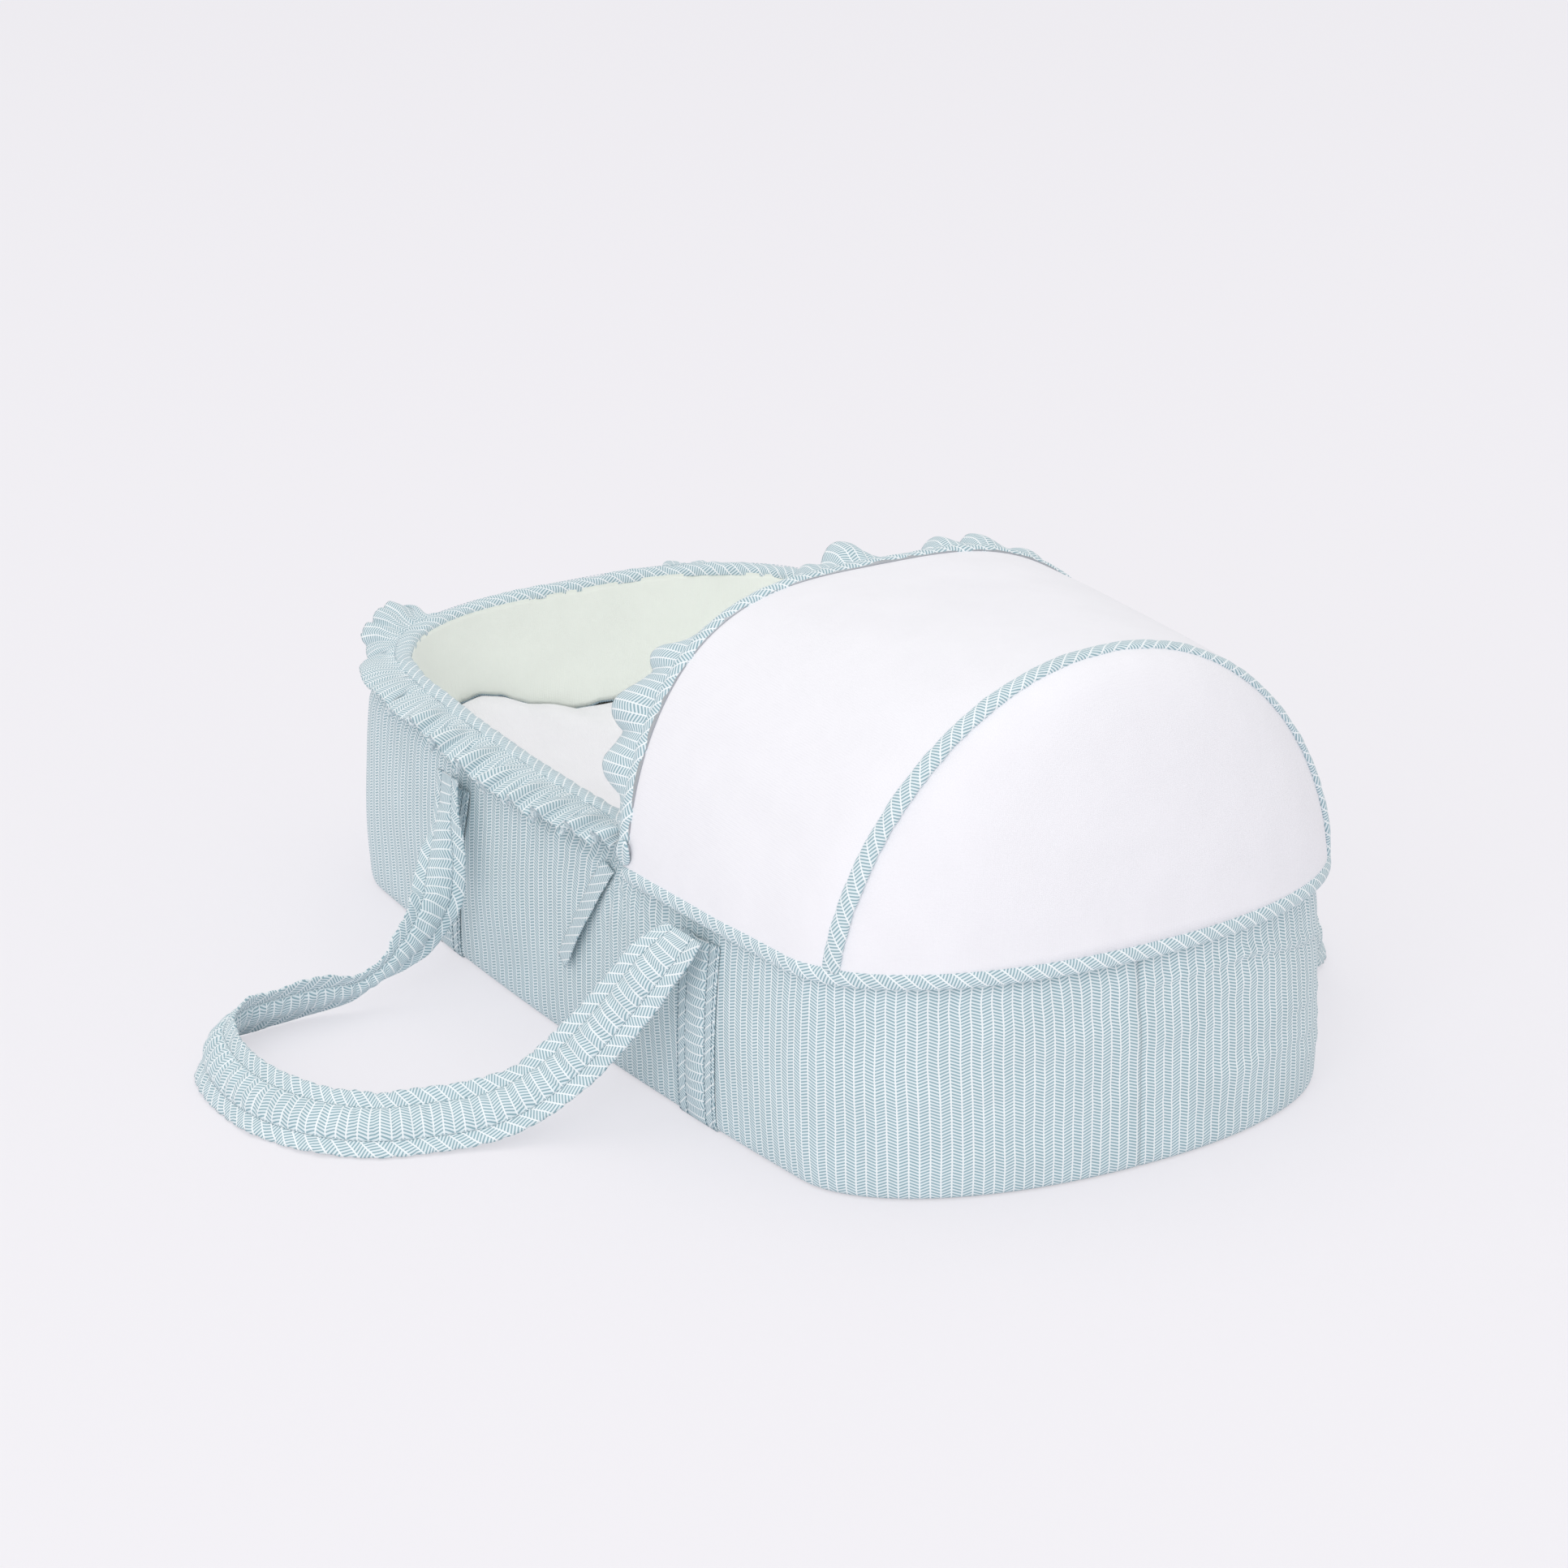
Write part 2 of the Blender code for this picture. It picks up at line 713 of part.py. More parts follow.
def build_hood_panels(parts, stuff):
    """The vault between the two bows and the rounded panel that closes the head end."""
    count, across = 28, 5
    low = hood_hem_top + fit_gap
    front_gap = front_binding_width / 2 + fit_gap + hood_fabric_thickness / 4
    back_gap = middle_band_width / 2 + fit_gap + hood_fabric_thickness / 4
    lines = [arch_line(step / across, low, count) for step in range(across + 1)]
    rows = [trimmed([line[step] for line in lines], front_gap, back_gap) for step in range(count + 1)]
    sheet("hood_top_panel", rows, hood_fabric_thickness, parts, stuff["hood"])
    start, end = outline.at_x(hood_middle_position, -1), outline.at_x(hood_middle_position, 1)
    rows = end_panel_rows(start, end, low, count, back_gap)
    sheet("hood_end_panel", rows, hood_fabric_thickness, parts, stuff["hood"])


def end_panel_rows(start, end, low, count, back_gap):
    """Rows of the end panel, each from the middle bow to the hem, clear of the bow's band."""
    rise = middle_band_width / 2
    arch = arch_line(1.0, low + rise, count)
    rows = []
    for step, point in enumerate(arch):
        share = step / count
        distance = start + back_gap * 2 + (end - start - back_gap * 4) * share
        row = end_row(distance, point, 6, low)
        rows.append(trimmed(row, back_gap + hood_fabric_thickness, 0.0))
    return rows


def bow_frames(share, start_height, count):
    """Places along a bow with the directions along it, along the fabric and out of it."""
    line = arch_line(share, start_height, count)
    other = arch_line(share + (0.2 if share < 0.5 else -0.2), start_height, count)
    frames = []
    for index, point in enumerate(line):
        before, after = line[max(index - 1, 0)], line[min(index + 1, count)]
        along = (after - before).normalized()
        fabric_way = other[index] - point
        fabric_way = (fabric_way - along * fabric_way.dot(along)).normalized()
        frames.append((point, along, fabric_way, along.cross(fabric_way)))
    return frames


def oval_loop(frame, width, depth, sides):
    """An oval around a bow, wide along the fabric."""
    point, _, across, out = frame
    return [
        point + across * (width / 2 * math.cos(2 * math.pi * side / sides))
        + out * (depth / 2 * math.sin(2 * math.pi * side / sides))
        for side in range(sides)
    ]


def sleeve(name, frames, width, parts, material):
    """A fabric sleeve round a bow: an oval outside, a round bore, open at both ends."""
    bore = bow_radius + bow_clearance
    sides = 8
    outer = [oval_loop(frame, width, binding_thickness, sides) for frame in frames]
    inner = [oval_loop(frame, 2 * bore, 2 * bore, sides) for frame in frames]
    mesh = bpy.data.meshes.new(name)
    loops = outer + inner[::-1]
    vertices = [point for loop in loops for point in loop]
    faces = []
    for index in range(len(loops)):
        here, there = index * sides, (index + 1) % len(loops) * sides
        for corner in range(sides):
            after = (corner + 1) % sides
            faces.append((here + corner, here + after, there + after, there + corner))
    mesh.from_pydata(vertices, [], faces)
    return finish_mesh(name, mesh, parts, material)


def bow(name, points, parts, material):
    """A round bow as a bevelled curve with filled caps, made a mesh."""
    data = bpy.data.curves.new(name, "CURVE")
    data.dimensions = "3D"
    data.bevel_depth = bow_radius
    data.bevel_resolution = 1
    data.use_fill_caps = True
    spline = data.splines.new("POLY")
    spline.points.add(len(points) - 1)
    for target, point in zip(spline.points, points):
        target.co = (*point, 1.0)
    curve = bpy.data.objects.new(name + "_curve", data)
    parts.objects.link(curve)
    return meshed(name, curve, parts, material)


def cylinder_along_y(name, centre, radius, low, high, sides):
    """A plain cylinder with its axis along Y, from low to high."""
    bpy.ops.mesh.primitive_cylinder_add(vertices=sides, radius=radius, depth=high - low)
    obj = bpy.context.active_object
    obj.name = name
    obj.rotation_euler = (math.pi / 2, 0.0, 0.0)
    obj.location = (centre.x, (low + high) / 2, centre.z)
    return obj


def build_bows(parts, cutters, stuff):
    """The front bow with its two hinge eyes, the middle bow, and a fabric sleeve round each."""
    hinge = arch_line(0.0, hinge_height, 28)[0]
    side = abs(hinge.y)
    front = bow("front_bow", arch_line(0.0, hinge_height + hinge_eye_radius / 2, 28), parts, stuff["steel"])
    for near, word in ((-1, "near"), (1, "far")):
        low, high = near * side - hinge_eye_length / 2, near * side + hinge_eye_length / 2
        eye = cylinder_along_y(word + "_eye", hinge, hinge_eye_radius, low, high, 20)
        hide_cutter(eye, cutters)
        joined = front.modifiers.new("Join " + word + " eye", "BOOLEAN")
        joined.operation = "UNION"
        joined.solver = "EXACT"
        joined.object = eye
    for near, word in ((-1, "near"), (1, "far")):
        low, high = near * side - hinge_eye_length, near * side + hinge_eye_length
        bore = hinge_pin_radius + hinge_pin_clearance
        cut(front, hide_cutter(cylinder_along_y(word + "_eye_bore", hinge, bore, low, high, 16), cutters))
        build_hinge(word + "_bow_hinge", near, hinge, side, parts, stuff["plastic"])
    set_origin(front, Vector((hinge.x, 0.0, hinge.z)))
    frames = bow_frames(0.0, hinge_height + hinge_clear, 28)
    binding = sleeve("front_binding", frames, front_binding_width, parts, stuff["print"])
    set_origin(binding, Vector((hinge.x, 0.0, hinge.z)))
    foot = hood_hem_top + fit_gap
    bow("middle_bow", arch_line(1.0, foot + fit_gap, 26), parts, stuff["steel"])
    frames = bow_frames(1.0, foot + middle_band_width / 8, 26)
    sleeve("middle_band", frames, middle_band_width, parts, stuff["print"])
    frill = hood_frill(parts, stuff["print"])
    set_origin(frill, Vector((hinge.x, 0.0, hinge.z)))


def set_origin(obj, origin):
    """Move an object's origin to a point on its joint's axis without moving its shape."""
    for vertex in obj.data.vertices:
        vertex.co -= origin
    obj.location = obj.location + origin


def build_hinge(name, near, hinge, side, parts, material):
    """A turned hinge: a boss on the rim, a pin through the bow's eye, and a head outside it."""
    rim_face = half_width_at(hinge.x) - rim_inset + rim_width / 2 + fit_gap
    eye_in, eye_out = side - hinge_eye_length / 2 - fit_gap, side + hinge_eye_length / 2 + fit_gap
    profile = [
        (0.0, eye_out + hinge_head_length), (hinge_head_radius, eye_out + hinge_head_length),
        (hinge_head_radius, eye_out), (hinge_pin_radius, eye_out), (hinge_pin_radius, eye_in),
        (hinge_boss_radius, eye_in), (hinge_boss_radius, rim_face), (0.0, rim_face),
    ]
    mesh = bpy.data.meshes.new(name)
    points = [(radius, 0.0, along) for radius, along in profile[::-1]]
    mesh.from_pydata(points, [], [(index, index + 1) for index in range(len(points) - 1)])
    mesh.materials.append(material)
    obj = bpy.data.objects.new(name, mesh)
    parts.objects.link(obj)
    screw = obj.modifiers.new("Turn", "SCREW")
    screw.steps = screw.render_steps = 16
    screw.use_merge_vertices = True
    screw.merge_threshold = bow_clearance / 30
    screw.use_smooth_shade = False
    obj.rotation_euler = (-near * math.pi / 2, 0.0, 0.0)
    obj.location = (hinge.x, 0.0, hinge.z)
    return obj


def hood_frill(parts, material):
    """The gathered strip on the front binding: it stands forward of the bow and waves at its hem."""
    frames = bow_frames(0.0, hood_base + hood_frill_rise, 64)
    length = sum((a[0] - b[0]).length for a, b in zip(frames, frames[1:]))
    columns = round(length / hood_frill_pitch) * 4
    rows = []
    seam = front_binding_width / 2 + fit_gap + frill_thickness / 2
    for column in range(columns + 1):
        place_share = column / columns * (len(frames) - 1)
        index = min(int(place_share), len(frames) - 2)
        mix = place_share - index
        point = frames[index][0].lerp(frames[index + 1][0], mix)
        across = -frames[index][2].lerp(frames[index + 1][2], mix).normalized()
        out = frames[index][3].lerp(frames[index + 1][3], mix).normalized()
        if out.dot(point - Vector((point.x, 0.0, hood_base))) < 0:
            out = -out
        wave = math.sin(column * math.pi / 2)
        ends = ease(min(column, columns - column) / 4)
        reach = hood_frill_reach * (0.4 + 0.6 * ends)
        rows.append([
            point + across * (seam + reach * share) + out * (hood_frill_wave * wave * share)
            for share in (0.0, 0.5, 1.0)
        ])
    return sheet("hood_frill", rows, frill_thickness, parts, material)


def build_hood_hem(parts, stuff):
    """The rolled hem that draws the hood's lower edge against the wall."""
    first_x = hood_front_position - hood_hem_lead
    start, end = outline.at_x(first_x, -1), outline.at_x(first_x, 1)
    loops = []
    middle_z = hood_hem_low + hood_hem_height / 2
    for distance in outline.between(start, end):
        rim_z = rim_height(outline.point(distance)[0])
        face = [outer_inset(z, rim_z) - fit_gap for z in (hood_hem_low, middle_z, hood_hem_top)]
        inner = min(face)
        depth = inner + hood_hem_outset
        section = [
            (inner, hood_hem_low + hood_hem_height * 0.15), (inner, hood_hem_top - hood_hem_height * 0.15),
            (inner - depth * 0.25, hood_hem_top), (inner - depth * 0.8, hood_hem_top),
            (-hood_hem_outset, middle_z + hood_hem_height * 0.2),
            (-hood_hem_outset, middle_z - hood_hem_height * 0.2),
            (inner - depth * 0.7, hood_hem_low), (inner - depth * 0.2, hood_hem_low),
        ]
        loops.append([place(distance, inset, z) for inset, z in section])
    skin("hood_hem", loops, False, parts, stuff["print"])


def build_straps(parts, stuff):
    """Two straps: each runs up one wall, under the base and up the other, and ends at the loops."""
    for name, position, slant in (
        ("foot_strap", foot_strap_position, foot_strap_slant),
        ("head_strap", head_strap_position, head_strap_slant),
    ):
        rows = []
        for across in (-0.5, 0.0, 0.5):
            near = strap_side(position + across * strap_width, slant, -1)
            far = strap_side(position + across * strap_width, slant, 1)
            rows.append(near + far[::-1])
        sheet(name, rows, strap_thickness, parts, stuff["print"])


def strap_side(x, slant, near):
    """The strap's middle surface on one side, from the handle's axis down and under the base."""
    outset = fit_gap + strap_thickness / 2
    clear = (strap_thickness + handle_flange_thickness) / 2 + fit_gap
    points = [Vector((x + slant, near * (handle_axis_offset - clear), handle_axis_height - clear))]
    levels = [strap_seam_height, wall_depth * 3, wall_depth]
    for z in levels:
        shifted = x + slant * z / handle_axis_height
        distance = outline.at_x(shifted, near)
        rim_z = rim_height(shifted)
        point = place(distance, outer_inset(z, rim_z) - outset, z)
        points.append(Vector((shifted, point.y, z)))
    points.append(Vector((x, points[-1].y, strap_thickness / 2)))
    return points


def handle(name, near, reach, shares, parts, material):
    """A carrying loop: a strap with a puffed middle, swept along its route."""
    centre = (handle_foot_end + handle_head_end) / 2
    span = (handle_head_end - handle_foot_end) / 2
    rows = smooth_path(shares, 2)
    lying = handle_width / 2
    middles = [Vector((centre + row[0] * span, near * (handle_axis_offset + row[1] * reach),
                       lying + max(row[2], 0.0) * (handle_axis_height - lying))) for row in rows]
    for _ in range(2):
        loops, fitted = [], []
        for index, row in enumerate(rows):
            puffed = ease(min(index, len(rows) - 1 - index) / 3)
            before, after = middles[max(index - 1, 0)], middles[min(index + 1, len(rows) - 1)]
            along = after - before
            along.x *= puffed
            along.normalize()
            width_way = Vector((row[3], -near * row[4], row[5]))
            width_way = (width_way - along * width_way.dot(along)).normalized()
            out = along.cross(width_way)
            rest = (abs(width_way.z) * handle_width + abs(out.z) * handle_flange_thickness) / 2
            puff = (abs(width_way.z) * handle_core_width + abs(out.z) * handle_core_thickness) / 2
            rest = max(rest, puff) + floor_gap
            level = rest + max(row[2], 0.0) * (handle_axis_height - rest)
            fitted.append(Vector((middles[index].x, middles[index].y, level)))
            loops.append(handle_section(fitted[-1], width_way, out, puffed))
        middles = fitted
    obj = skin(name, loops, False, parts, material)
    axis = Vector((centre, near * handle_axis_offset, handle_axis_height))
    set_origin(obj, axis)
    length = sum((a - b).length for a, b in zip(middles, middles[1:]))
    print(name, "runs", round(length, 3), "m")
    return obj


def handle_section(middle, width_way, out, puffed):
    """The strap's section: thin stitched edges and a padded channel between them."""
    flange = handle_flange_thickness / 2
    core = flange + (handle_core_thickness / 2 - flange) * puffed
    half, channel = handle_width / 2, handle_core_width / 2
    section = [
        (-half, flange), (-channel, flange), (-channel * 0.5, core), (channel * 0.5, core),
        (channel, flange), (half, flange), (half, -flange), (channel, -flange),
        (channel * 0.5, -core), (-channel * 0.5, -core), (-channel, -flange), (-half, -flange),
    ]
    return [middle + width_way * across + out * up for across, up in section]


def build_ties(parts, stuff):
    """The two ribbons that tie the hood's feet, hanging loose on the wall."""
    outset = 3 * fit_gap + frill_thickness / 2
    top_z = hood_hem_low - fit_gap - frill_thickness
    for near, name in ((-1, "near_tie"), (1, "far_tie")):
        rows = []
        for step in range(7):
            share = step / 6
            x = hood_front_position - tie_lead - tie_run * share
            z = top_z - tie_fall * share
            row = []
            for across in (-0.5, 0.0, 0.5):
                place_x = x + across * tie_width
                distance = outline.at_x(place_x, near)
                face = outer_inset(z, rim_height(place_x))
                row.append(place(distance, face - outset, z))
            rows.append(row)
        sheet(name, rows, frill_thickness, parts, stuff["print"])


def ring_loops(rings):
    """Loops of the rim's opening at the given insets and heights, each drawn in by its share."""
    loops = []
    for inset, z, share in rings:
        points = [place(distance, inset, z, 1.0) for distance in outline.stops]
        middle = (min(point.x for point in points) + max(point.x for point in points)) / 2
        loops.append([
            Vector((middle + (point.x - middle) * share, point.y * share, z)) for point in points
        ])
    return loops


def mattress_profile(grow):
    """The mattress's section from its lower edge to its crown, grown by one layer."""
    side = rim_inset + rim_width / 2 + mattress_side_gap + sheet_thickness + fit_gap - grow
    radius = mattress_edge_radius
    low, high = mattress_low, mattress_high + grow
    return [
        (side + radius / 2, low, 1.0),
        (side, low + radius / 2, 1.0),
        (side, (low + high) / 2, 1.0),
        (side, high - radius, 1.0),
        (side + radius / 2, high - radius / 4, 1.0),
        (side + radius, high, 1.0),
        (side + radius, high + mattress_crown * 0.7, mattress_crown_share),
        (side + radius, high + mattress_crown, mattress_crown_share**3),
    ]


def build_mattress(parts, stuff):
    """Foam block, the fitted sheet over it, and the thin hem of the lining just above them."""
    profile = mattress_profile(0.0)
    skin("mattress_foam", ring_loops(profile), False, parts, stuff["foam"])
    outer = mattress_profile(sheet_thickness + fit_gap)[1:]
    inner = mattress_profile(fit_gap)[1:]
    skin("mattress_sheet", ring_loops(outer[::-1] + inner), False, parts, stuff["hood"])
    centre_z = mattress_high + lining_hem_rise
    loops = []
    for distance in outline.stops:
        rim_z = rim_height(outline.point(distance)[0])
        face = outer_inset(centre_z, rim_z) + depth_at(centre_z, rim_z) + fit_gap + lining_hem_radius
        loops.append([
            place(distance, face + lining_hem_radius * math.cos(angle),
                  centre_z + lining_hem_radius * math.sin(angle))
            for angle in (2 * math.pi * side_index / 5 for side_index in range(5))
        ])
    skin("lining_hem", loops, True, parts, stuff["print"])


def main():
    """Build the whole carrycot."""
    clear_scene()
    parts = new_collection("carrycot")
    cutters = new_collection("cutters")
    stuff = {
        "print": fabric("printed_cotton", print_blue),
        "hood": fabric("white_cotton", hood_white),
        "lining": fabric("green_lining", lining_green),
        "foam": fabric("foam", foam_cream, 0.95),
        "board": fabric("hardboard", board_grey, 0.8),
        "steel": fabric("spring_wire", steel_grey, 0.35, 1.0),
        "plastic": fabric("hinge_plastic", plastic_white, 0.4),
    }
    build_base(parts, cutters, stuff)
    build_walls(parts, stuff)
    build_rim(parts, stuff)
    build_mattress(parts, stuff)
    build_hood_hem(parts, stuff)
    build_hood_panels(parts, stuff)
    build_bows(parts, cutters, stuff)
    build_straps(parts, stuff)
    build_ties(parts, stuff)
    handle("near_handle", -1, near_handle_reach, near_handle_shares, parts, stuff["print"])
    handle("far_handle", 1, far_handle_reach, far_handle_shares, parts, stuff["print"])


main()
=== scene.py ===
# %% [markdown]
# # A soft carrycot in printed cotton
#
# This notebook dresses the working model of a carrycot: a padded oval basket with a gathered frill,
# a white hood on two wire bows, a mattress, and two carrying loops. The working model already gives
# every size and every moving body. What follows makes the cloth: its folds, its seams and its print.
#
# Cloth is mostly thin sheets that follow a rule, so most pieces here are grids of points. A grid
# keeps a clean pattern of faces and lets each point carry its place on the flat cloth, in metres,
# which is what the woven and printed patterns are drawn from.

# %% Load the working model
import math

import bmesh
import bpy
import numpy as np
from mathutils import Matrix, Vector, noise


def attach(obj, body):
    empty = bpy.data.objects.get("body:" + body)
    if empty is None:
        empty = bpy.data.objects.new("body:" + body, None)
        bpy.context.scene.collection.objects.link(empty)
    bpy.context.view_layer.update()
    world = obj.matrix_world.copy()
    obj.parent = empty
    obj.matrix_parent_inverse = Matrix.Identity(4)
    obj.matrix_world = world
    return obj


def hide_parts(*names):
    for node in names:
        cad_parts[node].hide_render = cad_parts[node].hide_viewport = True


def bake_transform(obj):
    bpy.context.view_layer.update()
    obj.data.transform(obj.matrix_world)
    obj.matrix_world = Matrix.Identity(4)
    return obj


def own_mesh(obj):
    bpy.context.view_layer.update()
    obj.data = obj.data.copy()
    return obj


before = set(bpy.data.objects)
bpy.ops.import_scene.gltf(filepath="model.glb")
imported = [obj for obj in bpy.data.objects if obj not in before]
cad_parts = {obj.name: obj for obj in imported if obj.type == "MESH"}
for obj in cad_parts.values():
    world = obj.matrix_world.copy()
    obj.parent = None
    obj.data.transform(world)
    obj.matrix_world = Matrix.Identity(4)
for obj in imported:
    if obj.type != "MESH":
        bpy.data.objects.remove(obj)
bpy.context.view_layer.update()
print("nodes:", len(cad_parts))

# %% [markdown]
# ## Sizes that the whole basket follows
#
# Every layer of the wall follows one outline seen from above, a rounded rectangle that bows out a
# little at its sides. The same few numbers place the hood, the frills and the straps, so they come
# first. All of them are metres.

# %% The basket's sizes
basket_length = 0.782
end_width = 0.3534
middle_width = 0.3946
foot_corner = (0.103, 0.153)
head_corner_length = 0.096
corner_power = 2.166
side_rim_height = 0.165
end_rim_rise = 0.013
wall_depth = 0.026
wall_bulge = 0.002
shoulder_height = 0.132
shoulder_inset = 0.0015
rim_inset = 0.0187
rim_width = 0.014
rim_depth = 0.010
foot_lean = 0.020
foot_lean_length = 0.16
mattress_low = 0.0096
mattress_high = 0.0796
axis_height = 0.133
strap_width = 0.043

# %% The hood's sizes
hood_base = 0.145
hem_low = 0.1395
hem_top = 0.1505
hem_outset = 0.0085
hood_outset = 0.0065

# An arch: its place, its lean, its rise, and the powers that square its sides and its top.
front_arch = (0.1158, math.radians(-9.2), 0.1624, 3.33, 1.5)
middle_arch = (0.329, math.radians(7.0), 0.1775, 2.06, 1.66)
hinge = Vector((0.1133, 0.0, 0.1605))

half_length = basket_length / 2
half_end = end_width / 2
side_bow = middle_width / end_width - 1
print("basket", basket_length, "m long,", middle_width, "m wide")

# %% [markdown]
# ## The outline
#
# A superellipse corner is a circle's quarter with its sine and cosine raised to a power. It gives
# the soft square corners of a sewn basket with two numbers. The outline is kept as a chain of points
# with its running length, so that any layer can ask for a place by how far along the seam it lies.

# %% The outline and places on it


def smooth(share):
    """A smooth step from 0 to 1."""
    share = np.clip(share, 0.0, 1.0)
    return share * share * (3 - 2 * share)


def bell(share):
    """1 at 0, falling off smoothly on both sides and nearly 0 beyond 2."""
    return np.exp(-(share**2))


def stacked(*values):
    """Values spread to one shape and set side by side, such as x, y and z."""
    return np.stack(np.broadcast_arrays(*values), -1)


def near_outline(steps=161):
    """The near half of the outline, from the foot end's middle to the head end's middle."""
    turn = np.linspace(0, math.pi / 2, steps)
    across = np.clip(np.cos(turn), 0, 1) ** (2 / corner_power)
    along = np.sin(turn) ** (2 / corner_power)
    foot_x = -half_length + foot_corner[0] * (1 - across)
    foot_y = -half_end + foot_corner[1] * (1 - along)
    foot = stacked(foot_x, foot_y)
    head = stacked(half_length - head_corner_length * (1 - along), -half_end * across)
    side_x = np.linspace(foot[-1, 0], head[0, 0], steps)[1:-1]
    side = stacked(side_x, -half_end)
    points = np.concatenate([[[-half_length, 0.0]], foot, side, head])
    points[:, 1] *= 1 + side_bow * (1 - (points[:, 0] / half_length) ** 2)
    return points


near_side = near_outline()
outline = np.concatenate([near_side, near_side[-2::-1] * (1, -1)])
running = np.concatenate([[0.0], np.cumsum(np.linalg.norm(np.diff(outline, axis=0), axis=1))])
total = running[-1]
print("outline", round(float(total), 3), "m round")


def plan(distance):
    """The outline's x and y at a distance along it from the foot end's middle."""
    distance = np.mod(distance, total)
    return np.interp(distance, running, outline[:, 0]), np.interp(distance, running, outline[:, 1])


def outward(distance):
    """The outline's outward direction at a distance along it."""
    reach = wall_depth / 4
    before, after = plan(distance - reach), plan(distance + reach)
    run = np.hypot(after[0] - before[0], after[1] - before[1])
    return (after[1] - before[1]) / run, -(after[0] - before[0]) / run


def distance_at(x, near=-1):
    """How far along the outline it passes x on the near (-1) or far (1) side."""
    found = np.interp(x, near_side[:, 0], running[:len(near_side)])
    return found if near < 0 else total - found


def rim_at(distance):
    """The rim's height, which rises towards both ends."""
    return side_rim_height + end_rim_rise * (plan(distance)[0] / half_length) ** 2


def place(distance, inset, z, height_share=None):
    """Points set in from the outline, with the foot wall's lean."""
    distance, inset, z = np.broadcast_arrays(distance, inset, z)
    x, y = plan(distance)
    out_x, out_y = outward(distance)
    share = z / rim_at(distance) if height_share is None else height_share
    lean = foot_lean * share**2 * smooth((-x - (half_length - foot_lean_length)) / foot_lean_length)
    return stacked(x - out_x * inset + lean, y - out_y * inset, z)


def from_foot(distance):
    """A distance as measured from the foot end's middle, negative on the far side."""
    return np.mod(distance + total / 2, total) - total / 2


def tuck(distance):
    """How much further in the rim stands at the foot's near corner, where the cloth is bunched."""
    bunch_at, bunch_reach, bunch_depth = 0.205, 0.045, 0.006
    return bunch_depth * bell((from_foot(distance) - bunch_at) / bunch_reach)


def outer_inset(z, rim_z):
    """How far the wall's outer face stands in from the outline."""
    leg = rim_z - rim_depth
    share = np.clip(z / shoulder_height, 0, 1)
    low = shoulder_inset * share**4 - wall_bulge * np.sin(math.pi * share)
    rise = smooth((z - shoulder_height) / (leg - shoulder_height))
    high = shoulder_inset + (rim_inset - rim_width / 2 - shoulder_inset) * rise
    return np.where(z <= shoulder_height, low, high)


def inner_inset(z, rim_z):
    """How far the wall's inner face stands in: the full depth below, drawn together at the rim."""
    share = smooth((z - mattress_high) / (rim_z - rim_depth - mattress_high))
    return outer_inset(z, rim_z) + wall_depth + (rim_width - wall_depth) * share


# %% [markdown]
# ## Helpers for cloth
#
# A grid of points becomes a mesh whose UV map is the cloth laid flat, in metres. The noise that
# makes lumps and creases is read from the points' own places, so it closes on itself where a band
# closes on itself. Each helper does one job and serves the pieces after it.

# %% Grids, noise and thickness
seed_stride = 7.3
noise_gain = 1.6
core_reach = 0.2
core_height = 0.05


def noise_at(points, size, seed):
    """Smooth noise from about -1 to 1 at the points, with lumps of the given size in each direction."""
    scaled = points / np.asarray(size, float) + seed * seed_stride
    flat = [noise.noise(point) for point in scaled.reshape(-1, 3)]
    return np.array(flat).reshape(points.shape[:-1]) * noise_gain


def closed_band(points):
    """A band's columns with the first one again at the end, to measure it all the way round."""
    return np.concatenate([points, points[:, :1]], 1)


def turned(normal, way):
    """Normals turned over wherever they point against a way."""
    return normal * np.sign((normal * way).sum(-1, keepdims=True))


def unit(vectors):
    """Vectors made one metre long."""
    return vectors / np.maximum(np.linalg.norm(vectors, axis=-1, keepdims=True), 1e-12)


def grid_normals(points, closed=False):
    """The direction square to a grid at each of its points."""
    if closed:
        wrapped = np.concatenate([points[:, -1:], points, points[:, :1]], 1)
        along = (wrapped[:, 2:] - wrapped[:, :-2]) / 2
    else:
        along = np.gradient(points, axis=1)
    return unit(np.cross(along, np.gradient(points, axis=0)))


